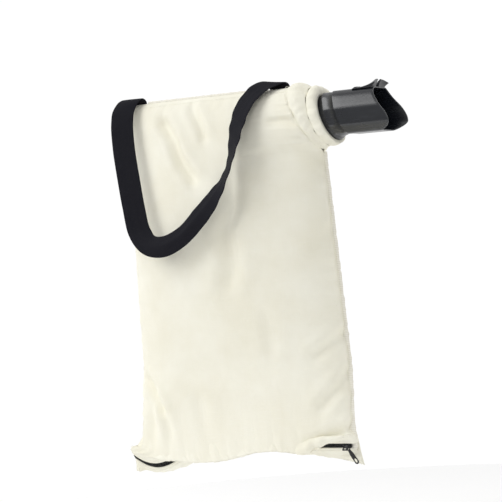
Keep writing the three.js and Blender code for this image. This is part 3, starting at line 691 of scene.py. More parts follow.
def back_edge(z, right):
    """Where the back panel's side edge lies at a height: in line with the seam, then out to the ear."""
    seam = np.where(right, right_seam(z), left_seam(z))
    out = np.where(right, EAR_RIGHT[0], EAR_LEFT[0])
    low = np.where(right, EAR_RIGHT[1], EAR_LEFT[1])
    x = mix(seam, out, ease(((TOP - z) / (TOP - low) - 0.85) / 0.15))
    return stack(x, back_seam_y(z), z)


def front_surface(u, v):
    """The front panel and, in its last cells at each side, the corner that closes it against the back panel's edge."""
    panel = front_middle(np.clip((u - CORNER) / (1 - 2 * CORNER), 0, 1), v)
    past = ease((np.abs(2 * u - 1) - (1 - 2 * CORNER)) / (2 * CORNER)) * ease((v - 0.84) / 0.06)
    return mix(panel, back_edge(panel[..., 2], u > 0.5), past[..., None])


def front_middle(u, v):
    """The front panel: between the side seams, bulged forward, ending in its lap over the zip."""
    share = np.clip(v / FRONT_LAP, 0, 1)
    foot = lap_point(u, 0.0, 1)
    z = mix(TOP, foot[..., 2], share)
    x = mix(mix(left_seam(z), right_seam(z), u), foot[..., 0], ease((share - 0.95) / 0.05))
    y = mix(seam_y(z) - SEAM_HALF, foot[..., 1], ease((share - 0.9) / 0.1))
    lowest = np.interp(foot[..., 0], *zip(*BELLY_LINE))
    drop = np.clip(mix(TOP, foot[..., 2], BELLY_SHARE) - lowest, 0, None)
    hump = np.exp(-(((share - BELLY_SHARE) / 0.034) ** 2)) * ease((1 - share) / 0.03)
    panel = stack(x, y - bulge(u, share, z), z - drop * hump)
    lap = lap_point(u, np.clip((v - FRONT_LAP) / (1 - FRONT_LAP), 0, 1), 1)
    return np.where((v > FRONT_LAP)[..., None], lap, panel)


FOLD = 0.94
BACK_LAP = 0.987


def fold_point(u):
    """The fold below the zip, from ear to ear."""
    rise = fullness(u) ** 1.2
    x = mix(EAR_LEFT[0], EAR_RIGHT[0], u)
    y = mix(SEAM_FORWARD / 2 + SEAM_HALF, FOLD_Y, rise)
    drop = FOLD_DROP - 5.0 * np.exp(-(((x + 200) / 70) ** 2)) + 6.0 * np.exp(-(((x + 330) / 45) ** 2))
    z = mix(mix(EAR_LEFT[1], EAR_RIGHT[1], u), lap_point(u, 0.0, -1)[..., 2] - drop, rise)
    return stack(x, y, z)


def back_surface(u, v):
    """The back panel: down to the fold, then forward and up to its lap over the zip's lower tape."""
    fold = fold_point(u)
    share = np.clip(v / FOLD, 0, 1)
    z = mix(TOP, fold[..., 2], share)
    across = fullness(u)
    x = mix(mix(left_seam(z), right_seam(z), u), fold[..., 0], ease((share - 0.85) / 0.15))
    edge = back_seam_y(z)
    y = mix(edge, mix(edge, fold[..., 1], ease((share - 0.8) / 0.2)), across)
    panel = stack(x, y + bulge(u, share, z), z)
    flap = mix(fold, lap_point(u, 0.0, -1), np.clip((v - FOLD) / (BACK_LAP - FOLD), 0, 1)[..., None])
    lap = lap_point(u, np.clip((v - BACK_LAP) / (1 - BACK_LAP), 0, 1), -1)
    below = np.where((v > BACK_LAP)[..., None], lap, flap)
    return np.where((v > FOLD)[..., None], below, panel)


# ---------------------------------------------------------------- sack

CELLS_ACROSS = 84
CELLS_DOWN = 116
PANEL_WIDE, PANEL_LONG = 430, 620  # the panel along its surface, for distances from its seams
PANEL_UV = (0.45, 0.64)  # metres of cloth that the panel's coordinates span
PANEL_EDGE = 7  # creases and puckers fade out over this much beside a seam
END_CROWDING = 0.45  # how much closer together the cells lie towards the seams

# Soft creases of the front panel: line from (x, z) to (x, z), half width and depth.
FRONT_CREASES = [
    ((-365, 16), (-299, -81), 10, 11.0),
    ((-308, 35), (-277, -11), 8, 6.5),
    ((-223, -100), (-229, -253), 17, 9.0),
    ((-112, -545), (-38, -516), 8, 8.0),
    ((-31, -344), (-85, -392), 9, 7.0),
    ((-41, -422), (-82, -476), 9, 6.5),
    ((-434, -430), (-399, -481), 8, 8.0),
    ((-399, -481), (-387, -525), 8, 5.0),
    ((-424, -455), (-428, -534), 12, 5.0),
    ((-163, -335), (-166, -380), 12, 2.0),
    ((-140, 0), (-96, -6), 7, 6.0),
    ((-48, -160), (-76, -214), 9, 3.0),
    ((-300, -540), (-318, -470), 14, 2.5),
]
BACK_CREASES = [
    ((-110, 10), (-170, -70), 9, 6.0),
    ((-130, 30), (-220, 10), 9, 4.0),
    ((-440, -90), (-370, -150), 11, 4.0),
    ((-240, -140), (-236, -330), 18, 4.5),
    ((-436, -430), (-380, -500), 10, 6.0),
    ((-62, -360), (-120, -430), 10, 5.0),
    ((-58, -470), (-140, -530), 10, 6.0),
    ((-320, -400), (-330, -520), 16, 3.0),
]


def crease_depth(points, creases):
    """How far the cloth is drawn in: for each line a Gauss valley with a lower ridge on both sides, fading at ends."""
    total = np.zeros(points.shape[:-1])
    for (x0, z0), (x1, z1), width, depth in creases:
        line = np.array([x1 - x0, z1 - z0], float)
        size = np.linalg.norm(line)
        rel = np.stack([points[..., 0] - x0, points[..., 2] - z0], axis=-1)
        along = rel @ line / size
        aside = (rel[..., 0] * line[1] - rel[..., 1] * line[0]) / size
        aside = aside + 0.25 * width * np.sin(along / 17.0)
        past = np.maximum(np.maximum(-along, along - size), 0.0)
        fade = np.exp(-((past / (1.6 * width)) ** 2))
        valley = np.exp(-((aside / width) ** 2))
        ridge = np.exp(-(((np.abs(aside) - 1.9 * width) / (1.1 * width)) ** 2))
        total += depth * fade * (valley - 0.4 * ridge)
    return total


def puckers(u, v, z, seed):
    """Small drawn-in waves beside the side seams and the top seam, and longer ones that run in from the neck."""
    from_left, from_right, from_top = PANEL_WIDE * u, PANEL_WIDE * (1 - u), PANEL_LONG * v
    side = np.exp(-from_left / 16) * ripple(z / 46, seed) + np.exp(-from_right / 16) * ripple(z / 46, seed + 1)
    top = np.exp(-from_top / 15) * ripple(u * 9, seed + 2)
    grow = np.clip(np.minimum(np.minimum(from_left, from_right), from_top) / 5, 0, 1)
    neck = np.exp(-from_right / 42) * ripple(z / 34, seed + 3) * ease((z - NECK_LOW + 25) / 40)
    low = np.exp(-((v - 0.955) / 0.035) ** 2) * ripple(u * 7, seed + 4)
    return grow * (1.7 * side + 1.3 * top + 2.6 * neck + 1.8 * low)


def settle(piece, edge_points, cap, frames=18):
    """Cloth simulation of a panel sewn along its edges, slightly oversize, with air inside and its own weight."""
    group = piece.vertex_groups.new(name="sewn")
    group.add([int(i) for i in edge_points], 1.0, "REPLACE")
    rest = np.array([v.co for v in piece.data.vertices])
    cloth = piece.modifiers.new("cloth", "CLOTH")
    settings = cloth.settings
    settings.quality = 5
    settings.mass = 0.2
    settings.air_damping = 3.0
    settings.tension_stiffness = 20.0
    settings.compression_stiffness = 20.0
    settings.shear_stiffness = 8.0
    settings.bending_stiffness = 1.2
    settings.vertex_group_mass = "sewn"
    settings.shrink_min = -0.035
    settings.use_pressure = True
    settings.uniform_pressure_force = 1.6
    cloth.collision_settings.use_collision = False
    cloth.point_cache.frame_start = 1
    cloth.point_cache.frame_end = frames
    scene = bpy.context.scene
    for number in range(1, frames + 1):
        scene.frame_set(number)
    moved = piece.evaluated_get(bpy.context.evaluated_depsgraph_get()).data
    result = np.array([v.co for v in moved.vertices])
    scene.frame_set(1)
    piece.modifiers.remove(cloth)
    piece.vertex_groups.remove(group)
    shift = result - rest
    size = np.linalg.norm(shift, axis=1, keepdims=True)
    held = cap * MM * np.tanh(size / (cap * MM)) / np.maximum(size, 1e-9)
    return rest + shift * held


def even_shares(cells, ends):
    """Shares from 0 to 1 that lie closer together near both ends."""
    t = np.linspace(0, 1, cells + 1)
    return mix(t, 0.5 - 0.5 * np.cos(math.pi * t), ends)


def make_panel(name, shape, creases, seed, outward, cap):
    """One canvas panel: cut from the solids' formula, settled as cloth, then creased and puckered along its normals."""
    us = even_shares(CELLS_ACROSS, END_CROWDING)
    vs = even_shares(CELLS_DOWN, END_CROWDING)
    u, v = np.meshgrid(us, vs, indexing="ij")
    points = shape(u, v)
    rows, columns = u.shape
    ids = np.arange(rows * columns).reshape(rows, columns)
    uv = np.stack([u * PANEL_UV[0], v * PANEL_UV[1]], axis=-1)
    panel = surface(name, points, CANVAS, uv=uv, solid=False)
    if panel.data.polygons[len(panel.data.polygons) // 2].normal.y * outward < 0:
        panel.data.flip_normals()
    lap = vs > (FRONT_LAP if outward < 0 else FOLD) - 0.004
    pinned = np.unique(np.concatenate([ids[0], ids[-1], ids[:, 0], ids[:, lap].ravel()]))
    points = (settle(panel, pinned, cap) / MM).reshape(rows, columns, 3)
    normals = outward_normals(points, outward)
    inner = np.ones(u.shape)
    from_side = np.minimum(PANEL_WIDE * u, PANEL_WIDE * (1 - u))
    inner *= np.clip(from_side / PANEL_EDGE, 0, 1) * np.clip(PANEL_LONG * v / PANEL_EDGE, 0, 1)
    inner *= np.clip((FRONT_LAP - 0.004 - v) / 0.02, 0, 1)
    height = puckers(u, v, points[..., 2], seed) - crease_depth(points, creases)
    points = points + normals * (inner * height)[..., None]
    panel.data.vertices.foreach_set("co", (points * MM).ravel())
    panel.data.update()
    finish_with(panel, thickness=CLOTH, subdivide=1)
    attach(panel, "sack")
    return panel, points


front_panel, front_grid = make_panel("front_canvas", front_surface, FRONT_CREASES, 11, -1, 12.0)
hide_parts("front_panel")
back_panel, back_grid = make_panel("back_canvas", back_surface, BACK_CREASES, 23, 1, 12.0)
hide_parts("back_panel")


def seam_edge(name, node, line, wide, seed):
    """Seam allowance: a strip that stands out of a seam, 1.6 thick, waving gently in depth and in width."""
    path, out = line
    run = run_along(path)
    section = np.array([[-0.7, 2.2], [0.25, 1.6], [0.9, 0.75], [1.0, 0.0], [0.9, -0.75], [0.25, -1.6], [-0.7, -2.2]])
    wave = 0.9 * ripple(run / 60, seed)
    edge = 1 + 0.07 * ripple(run / 25, seed + 1)
    offset = section[None, :, 0] * wide * edge[:, None]
    points = path[:, None, :] + offset[..., None] * out[:, None, :]
    points[..., 1] += section[None, :, 1] + wave[:, None] * section[None, :, 0]
    across = np.linspace(0, 0.012, len(section) + 1)
    uv = pair(across[None, :], (run * MM)[:, None])
    strip = surface(name, points, OVERLOCK, "sack", wrap_columns=True, caps=True, uv=uv)
    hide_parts(node)


left_z = np.linspace(TOP - 8, -560, 150)
left_line = stack(left_seam(left_z), seam_y(left_z), left_z)
seam_edge("left_seam_edge", "side_seam_left", (left_line, np.tile([-1.0, 0, 0], (150, 1))), 3.4, 31)
right_z = np.linspace(NECK_LOW - 6, -552, 150)
right_line = stack(right_seam(right_z), seam_y(right_z), right_z)
seam_edge("right_seam_edge", "side_seam_right", (right_line, np.tile([1.0, 0, 0], (150, 1))), 5.6, 37)
top_x = np.linspace(-412, -169, 90)
top_line = stack(top_x, 0.0, np.full(90, TOP))
seam_edge("top_seam_edge", "top_seam", (top_line, np.tile([0.0, 0, 1.0], (90, 1))), 3.6, 41)


def grid_line(grid, u, v, outward):
    """A line on a panel at shares u and v, with the panel's normals there."""
    return sample(grid, u, v), unit(sample(outward_normals(grid, outward), u, v))


down_shares = np.linspace(0.03, 0.96, 300)
edge_share = np.full(300, 0.022)
side_rows = [
    grid_line(front_grid, edge_share, down_shares, -1),
    grid_line(back_grid, edge_share, down_shares, 1),
    grid_line(front_grid, 1 - edge_share, np.linspace(0.22, 0.96, 300), -1),
    grid_line(back_grid, 1 - edge_share, np.linspace(0.22, 0.96, 300), 1),
]
across_shares = np.linspace(0.04, 0.96, 300)
top_rows = [
    grid_line(front_grid, across_shares, np.full(300, 0.022), -1),
    grid_line(back_grid, across_shares, np.full(300, 0.022), 1),
]
stitches("side_seam_stitches", side_rows, THREAD, "sack")
stitches("top_seam_stitches", top_rows, THREAD, "sack")

# ---------------------------------------------------------------- zip


def tape_strip(name, node, side):
    """One zip tape: a thin closed strip from the chain to under the panel's lap, with a corded inner edge."""
    x = np.linspace(ZIP_LEFT, ZIP_RIGHT + 2, 180)[:, None]
    across = np.array([TAPE_INNER, TAPE_INNER + 1.5, 7.0, TAPE_WIDTH, TAPE_WIDTH, 7.0, TAPE_INNER + 1.5, TAPE_INNER])
    out = np.array([0.45, 0.40, 0.36, 0.36, -0.36, -0.36, -0.40, -0.45])
    points = zip_point(x, side * across[None, :], out[None, :])
    run = np.linspace(0, 0.45, 180)
    uv = pair(np.linspace(0, 0.024, 9)[None, :], run[:, None])
    tape = surface(name, points, TAPE, "sack", wrap_columns=True, caps=True, uv=uv)
    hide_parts(node)


def zip_teeth(name, node, side, shift):
    """One row of coil turns: loops at an even pitch, each a ring of round section flattened to the coil's height."""
    pitch = 1.75
    x = np.arange(ZIP_LEFT + 8, ZIP_RIGHT - 0.5, pitch) + shift * pitch
    turn = np.linspace(0, 2 * math.pi, 12, endpoint=False)
    ring = np.stack([0.25 * np.sin(turn), 1.75 + 1.55 * np.cos(turn), 0.85 + 0.62 * np.sin(turn)], axis=1)
    normal = unit(np.stack([np.zeros(12), np.cos(turn), np.sin(turn)], axis=1))
    wire = np.linspace(0, 2 * math.pi, 5, endpoint=False)
    radius = 0.32
    tube = ring[:, None, :] + radius * (
        np.cos(wire)[None, :, None] * normal[:, None, :] + np.sin(wire)[None, :, None] * np.array([1.0, 0, 0])
    )
    quads, _, _ = grid_faces(12, 5, wrap_rows=True, wrap_columns=True)
    slope = np.gradient(-zip_dip(x), x)
    along = unit(stack(np.ones_like(x), 0.0, slope))
    up = np.tile(ZIP_UP * side, (len(x), 1))
    out = np.tile(ZIP_OUT, (len(x), 1))
    places = zip_point(x, 0.0, TAPE_THICK / 2 + COIL_LIFT - 0.05)
    turns = np.stack([along, up, out], axis=-1)
    vertices, faces = copies(tube.reshape(-1, 3), quads, places, turns)
    teeth = make_piece(name, vertices, faces.tolist(), TEETH, "sack")
    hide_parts(node)


tape_strip("upper_zip_tape", "zip_tape_front", 1)
tape_strip("lower_zip_tape", "zip_tape_back", -1)
zip_teeth("upper_zip_teeth", "zip_coil_front", 1, 0.0)
zip_teeth("lower_zip_teeth", "zip_coil_back", -1, 0.5)

lap_x = np.linspace(ZIP_LEFT + 3, ZIP_RIGHT - 2, 300)
lap_out = TAPE_THICK / 2 + 2.0
lap_rows = [
    (zip_point(lap_x, side * (LAP_EDGE + inset), lap_out), np.tile(ZIP_OUT, (300, 1)))
    for side in (1, -1)
    for inset in (1.6, 6.2)
]
stitches("zip_lap_stitches", lap_rows, THREAD, "sack")

PULL_PIVOT = zip_point(SLIDER_X + 4.0, 0.0, PLATE_TOP + 3.25)
PULL_LEAN = math.radians(34.0)


def make_pull():
    """The pull tab: an outline with its eye and oval hole, filled flat, thickened and leaned about the pivot."""
    length, half, rim = 31.0, 3.75, 3.6
    angle = np.linspace(0, 2 * math.pi, 96, endpoint=False)[::6]
    half_thick = 0.65
    reach = length - half
    # Half width at each place: the larger of the eye's circle and the tab, which tapers to its neck and ends round.
    t = np.linspace(0, 1, 48)
    s = mix(-rim, length, 0.5 - 0.5 * np.cos(math.pi * t))
    eye_width = np.sqrt(np.clip(rim**2 - s**2, 0, None))
    tab_width = half * ease((s - 3) / 11) * 0.42 + 2.2 * ease((s - 1) / 3)
    tab_width = np.where(s > reach, np.sqrt(np.clip(half**2 - (s - reach) ** 2, 0, None)), np.minimum(tab_width, half))
    width = np.maximum(np.where(s < rim, eye_width, 0), np.where(s > 1.5, tab_width, 0))
    outline = np.vstack([np.stack([s, width], 1), np.stack([s[-2:0:-1], -width[-2:0:-1]], 1)])
    work = bmesh.new()
    eye = np.stack([2.5 * np.cos(angle), 2.5 * np.sin(angle)], 1)
    hole = np.stack([length - 6.5 + 4.0 * np.cos(angle), 2.1 * np.sin(angle)], 1)
    edges = []
    for loop in (outline, eye, hole):
        vertices = [work.verts.new((p[0], p[1], half_thick)) for p in loop]
        edges += [work.edges.new((vertices[k], vertices[k - 1])) for k in range(len(vertices))]
    bmesh.ops.triangle_fill(work, edges=edges, use_beauty=True)
    top = bmesh.ops.extrude_face_region(work, geom=list(work.faces))
    for vertex in [g for g in top["geom"] if isinstance(g, bmesh.types.BMVert)]:
        vertex.co.z = -half_thick
    bmesh.ops.recalc_face_normals(work, faces=work.faces)
    along = np.array([math.sin(PULL_LEAN), 0, -math.cos(PULL_LEAN)])
    side = np.array([math.cos(PULL_LEAN), 0, math.sin(PULL_LEAN)])
    normal = np.cross(along, side)
    for vertex in work.verts:
        x, y, z = vertex.co
        vertex.co = (PULL_PIVOT + along * x + side * y + normal * z) * MM
    bmesh.ops.recalc_face_normals(work, faces=work.faces)
    mesh = bpy.data.meshes.new("pull_tab")
    work.to_mesh(mesh)
    work.free()
    tab = bpy.data.objects.new("pull_tab", mesh)
    bpy.context.collection.objects.link(tab)
    mesh.materials.append(LACQUER)
    finish_with(tab, bevel=0.25)
    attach(tab, "pull")
    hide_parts("zip_pull")


make_pull()

# ---------------------------------------------------------------- neck and cuff


HEM_X, HEM_SLANT = -64, 24
AROUND = 288


def hem_x(angle):
    """x of the cloth's slanted edge on the duct: a sine that reaches furthest towards the mouth underneath."""
    return HEM_X + HEM_SLANT * (0.5 - 0.5 * np.sin(angle))


def neck_seam(angle, grow=0.0):
    """The oval seam between sack and neck, grown outwards."""
    rise = np.sin(angle)
    x = mix(NECK_X_LOW, NECK_X_TOP, (rise + 1) / 2)
    half = (NECK_TOP - NECK_LOW) / 2
    return stack(x, (NECK_HALF_DEPTH + grow) * np.cos(angle), (NECK_TOP + NECK_LOW) / 2 + (half + grow) * rise)


def pleats(angle, count):
    """Gathers round the neck: narrow valleys between rounded folds, at uneven spacing."""
    wander = angle + 0.12 * np.sin(2 * angle + 0.7) + 0.07 * np.sin(5 * angle + 2.0)
    return 1 - 2 * np.abs(np.cos(count * wander / 2)) ** 2.6


def make_sleeve():
    """The neck's sleeve: mixed from seam to cuff, puffed out between as a sine, with pleats that deepen to the cuff."""
    angle = np.linspace(0, 2 * math.pi, AROUND, endpoint=False)[:, None]
    along = np.linspace(0, 1, 26)[None, :]
    out = stack(0.0, np.cos(angle), np.sin(angle))
    start = neck_seam(angle, 0.6) + np.array([1.0, 0, 0])
    radius = 45.4 + 7.0 * (0.5 + 0.5 * np.sin(angle)) ** 1.5
    end = stack(hem_x(angle) - 17.0, radius * np.cos(angle), radius * np.sin(angle))
    base = mix(start, end, along[..., None])
    rise = 0.55 + 0.45 * np.sin(angle)
    puff = 8.5 * np.sin(math.pi * along**0.85) * rise
    fold = pleats(angle, 9) * along**1.5 * (2 - along) * 1.8
    crease = 0.5 * ripple(angle / 0.9 + along * 0.4, 9)
    height = puff + fold + crease * np.sin(math.pi * along)
    height = np.minimum(height, 12.5)
    points = base + out * height[..., None]
    turn = np.linspace(0, 0.36, AROUND + 1)
    uv = pair(turn[:, None], np.linspace(0, 0.05, 26)[None, :])
    sleeve = surface("neck_sleeve_cloth", points, GATHERED, wrap_rows=True, uv=uv, solid=False)
    middle = sleeve.data.polygons[0]
    if Vector(middle.center).yz.dot(Vector(middle.normal).yz) < 0:
        sleeve.data.flip_normals()
    return finish_with(sleeve, thickness=CLOTH)


sleeve = make_sleeve()
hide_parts("neck_sleeve")
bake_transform(sleeve)


def make_cuff():
    """The gathered hem over its elastic: a folded channel whose outside swells and is drawn into pleats."""
    angle = np.linspace(0, 2 * math.pi, AROUND, endpoint=False)[:, None]
    turn = np.linspace(-0.15, math.pi + 0.15, 13)
    outside = stack(-9.0 + 9.6 * np.cos(turn), 44.0 + 2.4 * np.sin(turn), np.clip(np.sin(turn), 0, 1) ** 0.7)
    inside = np.array([[-18.0, 42.0, 0], [-17.5, 38.9, 0], [-12, 38.45, 0], [-6, 38.45, 0], [-1, 38.45, 0], [0, 39, 0]])
    x, r, outer = np.vstack([outside, inside]).T[:, None, :]
    ruffle = (9.0 * (0.5 + 0.5 * np.sin(angle)) ** 1.5 + pleats(angle, 9) * 1.3 + 0.7 * ripple(angle / 0.9, 15)) * outer
    points = stack(hem_x(angle) + x, (r + ruffle) * np.cos(angle), (r + ruffle) * np.sin(angle))
    around = np.linspace(0, 0.34, AROUND + 1)
    uv = pair(around[:, None], np.linspace(0, 0.05, 20)[None, :])
    cuff = surface("gathered_cuff", points, GATHERED, "cuff", wrap_rows=True, wrap_columns=True, uv=uv)
    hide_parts("neck_hem")


make_cuff()
ring_angle = np.linspace(0, 2 * math.pi, 240)
STITCH_RING = 43.4
ring_out = stack(0.0, np.cos(ring_angle), np.sin(ring_angle))
ring_line = stack(hem_x(ring_angle) + 0.4, STITCH_RING * np.cos(ring_angle), STITCH_RING * np.sin(ring_angle))
cuff_rows = [(ring_line, ring_out)]
stitches("cuff_stitches", cuff_rows, THREAD, "cuff", pitch=3.2, length=2.4)


def make_welt():
    """The piped welt between sack and neck: a small tube of canvas round the oval seam, puckered at its stitches."""
    angle = np.linspace(0, 2 * math.pi, 260, endpoint=False)[:, None]
    section = np.linspace(0, 2 * math.pi, 10, endpoint=False)[None, :]
    grow = 0.1 + 1.3 * np.sin(section) * (1 + 0.12 * pleats(angle, 40))
    rim = neck_seam(angle, 0.0)
    out = stack(0.0, np.cos(angle), np.sin(angle))
    points = rim + out * grow[..., None]
    points[..., 0] += 0.6 + 2.0 * np.cos(section)
    around = np.linspace(0, 0.36, 261)
    uv = pair(around[:, None], np.linspace(0, 0.012, 11)[None, :])
    welt = surface("neck_welt_piping", points, CANVAS, "sack", wrap_rows=True, wrap_columns=True, uv=uv)
    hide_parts("neck_welt")


make_welt()
welt_rows = [
    (
        neck_seam(ring_angle, 2.4) + np.array([-3.2, 0, 0]),
        stack(-0.2, np.cos(ring_angle), np.sin(ring_angle)),
    )
]
stitches("neck_seam_stitches", welt_rows, THREAD, "sack")

# ---------------------------------------------------------------- strap

# Centre line of the webbing, its width direction, and how far its middle stands up in a lengthwise crease.
STRAP_ROWS = [
    (-436, 0, 50, 1, 0, 0, 0),
    (-436, 0, 61, 1, 0, 0, 0),
    (-439, -7, 67, 1, 0.1, 0, 0),
    (-443, -17, 62, 0.97, 0.25, 0, 0),
    (-446, -29, 48, 0.9, 0.42, 0, 0),
    (-443, -42, 25, 0.87, 0.49, 0, 0),
    (-433, -57, -20, 0.87, 0.49, 0.02, 0),
    (-416, -73, -80, 0.86, 0.5, 0.06, 0),
    (-401, -85, -132, 0.9, 0.46, 0.03, 0),
    (-389, -91, -170, 0.84, 0.46, 0.3, 1),
    (-368, -95, -193, 0.34, 0.4, 0.84, 5),
    (-338, -97, -197, -0.03, 0.1, 1, 7),
    (-300, -97, -182, -0.2, 0.1, 0.97, 7),
    (-268, -97, -156, -0.42, 0.15, 0.9, 6),
    (-238, -95, -126, -0.58, 0.42, 0.7, 4),
    (-214, -91, -92, -0.6, 0.74, 0.35, 1),
    (-204, -82, -58, -0.66, 0.72, 0.15, 0),
    (-199, -71, -18, -0.83, 0.5, 0.2, 0),
    (-194, -56, 18, -0.9, 0.36, 0.22, 0),
    (-184, -40, 44, -0.94, 0.28, 0.2, 0),
    (-170, -25, 60, -0.97, 0.1, 0.2, 0),
    (-160, -14, 67, -0.98, 0, 0.2, 0),
    (-150, -5, 68, -1, 0, 0.1, 0),
    (-146, 0, 61, -1, 0, 0, 0),
    (-146, 0, 50, -1, 0, 0, 0),
]
WEBBING_WIDTH, WEBBING_THICK = 39.0, 1.6


def smooth_rows(rows, count):
    """Cubic Hermite curve through rows of numbers, with slopes from their neighbours over the root of the chord."""
    rows = np.asarray(rows, float)
    chord = np.sqrt(np.linalg.norm(np.diff(rows[:, :3], axis=0), axis=1))
    knots = np.concatenate([[0], np.cumsum(chord)])
    slopes = np.gradient(rows, knots, axis=0)
    t = np.linspace(0, knots[-1], count)
    i = np.clip(np.searchsorted(knots, t, side="right") - 1, 0, len(rows) - 2)
    h = (knots[i + 1] - knots[i])[:, None]
    s = ((t - knots[i]) / (knots[i + 1] - knots[i]))[:, None]
    return (
        (2 * s**3 - 3 * s**2 + 1) * rows[i]
        + (s**3 - 2 * s**2 + s) * h * slopes[i]
        + (3 * s**2 - 2 * s**3) * rows[i + 1]
        + (s**3 - s**2) * h * slopes[i + 1]
    )


def make_strap():
    """The webbing: a flat section with tight rounded edges carried along its line, its middle raised at creases."""
    rows = smooth_rows(STRAP_ROWS, 520)
    centre, width, crease = rows[:, :3], unit(rows[:, 3:6]), np.clip(rows[:, 6], 0, None)
    tangent = unit(np.gradient(centre, axis=0))
    normal = unit(np.cross(tangent, width))
    side = np.array([-1, -0.985, -0.9, -0.6, -0.3, -0.08, 0.08, 0.3, 0.6, 0.9, 0.985, 1])
    thick = np.array([0.25, 0.8, 1, 1, 1, 1, 1, 1, 1, 1, 0.8, 0.25])
    side = np.concatenate([side, side[::-1]])
    thick = np.concatenate([thick, -thick[::-1]]) * WEBBING_THICK / 2
    half = np.sqrt((WEBBING_WIDTH / 2) ** 2 - crease**2)
    fold = crease[:, None] * (1 - np.abs(side)[None, :])
    run = run_along(centre)
    flutter = 0.5 * ripple(run / 90, 61)[:, None] * side[None, :] ** 2
    height = fold + thick[None, :] + flutter
    points = centre[:, None, :] + (side[None, :] * half[:, None])[..., None] * width[:, None, :]
    points = points + height[..., None] * normal[:, None, :]
    across = np.concatenate([side, side[:1]]) * WEBBING_WIDTH / 2 * MM
    uv = pair(across[None, :], (run * MM)[:, None])
    strap = surface("webbing_strap", points, WEBBING, wrap_columns=True, caps=True, uv=uv)
    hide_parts("strap_end_left", "strap_end_right", "shoulder_strap")
    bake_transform(strap)


make_strap()


def bar_tack(name, node, x):
    """A bar tack: close zigzag threads across the webbing's end, each a bead laid at a slant."""
    across = np.linspace(-15, 15, 56)
    slant = np.where(np.arange(56) % 2 == 0, 1.0, -1.0)
    places = stack(x + across, -1.35, TOP + 3.6)
    along = unit(stack(0.35 * slant, 0.0, np.ones(56)))
    normal = np.tile([0.0, -1.0, 0.0], (56, 1))
    turns = np.stack([along, np.cross(normal, along), normal], axis=-1)
    vertices, faces = beads(3.4, 0.34, places, turns)
    tack = make_piece(name, vertices, faces, TAPE, "sack")
    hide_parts(node)


bar_tack("left_bar_tack", "bar_tack_left", -436.0)
bar_tack("right_bar_tack", "bar_tack_right", -146.0)

# ---------------------------------------------------------------- duct

# The socket's flats: the direction that each faces, in degrees, and its distance from the section's centre.
FLATS = ((90, 37.0), (52, 43.0), (26, 41.5), (-7, 42.0), (-50, 42.5), (-90, 36.0))
FLAT_POWER = 40
SOCKET_LIFT = 5.0
WALL, RIM = 2.6, 1.3
STEP_HEIGHT, STEP_X, STEP_SLANT = 1.8, -24, 13
SPIGOT_R, SPIGOT_END = 38, -112.0
BEAD_X, BEAD_HEIGHT, BEAD_HALF = -104, 1.8, 2.5
BORE_R, STOP_R = 35.4, 31.0
ROOF_REACH, NOSE_REACH, FLOOR_REACH = 42.0, 71.0, 52.0


def socket_radius(angle):
    """Outline of the socket: flats joined by a high power mean, so that its corners are tight but rounded."""
    folded = np.arcsin(np.sin(angle))
    total = np.zeros_like(folded)
    for direction, distance in FLATS:
        total += (np.clip(np.cos(folded - math.radians(direction)), 0, None) / distance) ** FLAT_POWER
    return total ** (-1 / FLAT_POWER)


def mouth_reach(z):
    """Reach of the mouth at a height: short at the roof, long at the nose, back again to the floor."""
    roof, floor, nose = 42.0, -31.0, -16.0
    above = mix(ROOF_REACH, NOSE_REACH, ease((roof - z) / (roof - nose)))
    below = mix(NOSE_REACH, FLOOR_REACH, np.clip((nose - z) / (nose - floor), 0, 1) ** 2)
    return np.where(z > nose, above, below)


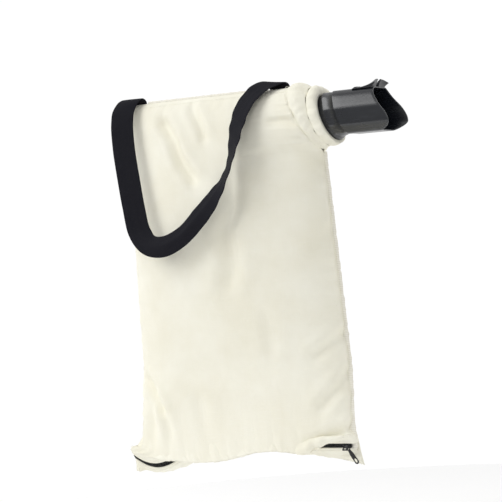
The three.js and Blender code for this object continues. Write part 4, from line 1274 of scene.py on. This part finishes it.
def make_duct():
    """The duct: one closed profile of radius against x for every angle, from beaded spigot to cut mouth and back."""
    angle = np.linspace(0, 2 * math.pi, 360, endpoint=False)
    socket = socket_radius(angle)
    hem = hem_x(angle)
    reach = mouth_reach(SOCKET_LIFT + socket * np.sin(angle))
    step = STEP_X - STEP_SLANT * np.sin(angle)

    def spot(x, radius, lifted):
        x, radius, lifted = np.broadcast_arrays(x, radius, lifted)
        return stack(x, radius * np.cos(angle), SOCKET_LIFT * lifted + radius * np.sin(angle))

    rows = []
    for x in np.concatenate([[SPIGOT_END, -111.6], np.linspace(-108.5, -99.5, 9), [-94.0, -80.0]]):
        bead = BEAD_HEIGHT * math.exp(-(((x - BEAD_X) / BEAD_HALF) ** 2))
        rows.append(spot(x, SPIGOT_R + bead - (0.5 if x == SPIGOT_END else 0), 0))
    for share in np.linspace(0, 1, 9):
        rows.append(spot(hem + 2 + 8 * share, mix(38.0, socket - STEP_HEIGHT, ease(share)), ease(share)))
    for back, height in ((0.0, 0.0), (0.15, 0.45), (0.7, 1.3), (1.3, 1.7), (2.2, 1.8)):
        rows.append(spot(step + back, socket - STEP_HEIGHT + height, 1))
    for share in (0.2, 0.5, 0.8, 0.93):
        rows.append(spot(mix(step + 2.2, reach, share), socket, 1))
    for turn in np.linspace(0, math.pi, 7):
        rows.append(spot(reach - RIM + RIM * math.sin(turn), socket - RIM + RIM * math.cos(turn), 1))
    for x in (24.0, 6.0, -1.2):
        rows.append(spot(x, socket - WALL, 1))
    rows += [spot(-1.2, socket - WALL - 1, 1), spot(-0.3, socket - WALL - 1.0, 1), spot(0.0, socket - WALL - 1.4, 1)]
    rows += [spot(0.0, STOP_R + 0.4, 1), spot(-0.4, STOP_R, 1), spot(-4.0, STOP_R, 1)]
    rows += [spot(-4.0, 32.4, 1), spot(-18.0, 33.9, 1), spot(hem + 2, BORE_R, 0), spot(-111.6, BORE_R, 0)]
    points = np.stack(rows, axis=1)
    duct = surface("inlet_duct", points, DUCT, "duct", wrap_rows=True, wrap_columns=True)
    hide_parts("duct_shell")


make_duct()


def catch_lip(name, side):
    """A catch lip on the roof: a curled ramp with a finger dip, swept across its width, its crown falling outwards."""
    roof = 42.0
    t = np.linspace(0, 1, 9)[:, None]

    def bend(a, b, c):
        return (1 - t) ** 2 * np.array(a) + 2 * t * (1 - t) * np.array(b) + t**2 * np.array(c)

    top = np.vstack(
        [
            [[2, roof - 1.4], [6.5, roof + 3.0]],
            bend((8, roof + 3.7), (16, roof - 0.5), (24, roof + 3.2)),
            bend((24, roof + 3.2), (33, roof + 6.5), (40, roof + 13.0))[1:],
            [[41.4, roof + 12.9], [42.0, roof + 11.5]],
            bend((42.0, roof + 11.5), (37, roof + 5), (37, roof - 1.4))[1:],
        ]
    )
    across = np.linspace(0, 1, 15)
    y = side * mix(5.0, 27.0, across)
    x = np.tile(top[:, 0], (15, 1))
    z = np.tile(top[:, 1], (15, 1))
    above = np.clip(z - roof, 0, None)
    z = z - above * 0.45 * across[:, None] ** 2
    x = x + above / 13.0 * 4.0 * across[:, None] ** 2
    points = stack(x, y[:, None], z)
    lip = surface(name, points, DUCT, "duct", wrap_columns=True, caps=True)
    finish_with(lip, bevel=0.5)


catch_lip("near_catch_lip", -1)
catch_lip("far_catch_lip", 1)

# ---------------------------------------------------------------- solids that keep their own shape

for node, finish in {
    "neck_elastic": ELASTIC,
    "zip_stop_front": LACQUER,
    "zip_stop_back": LACQUER,
    "zip_bottom_stop": LACQUER,
    "slider_body": LACQUER,
    "slider_bail": LACQUER,
}.items():
    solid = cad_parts[node]
    solid.data.materials.clear()
    solid.data.materials.append(finish)
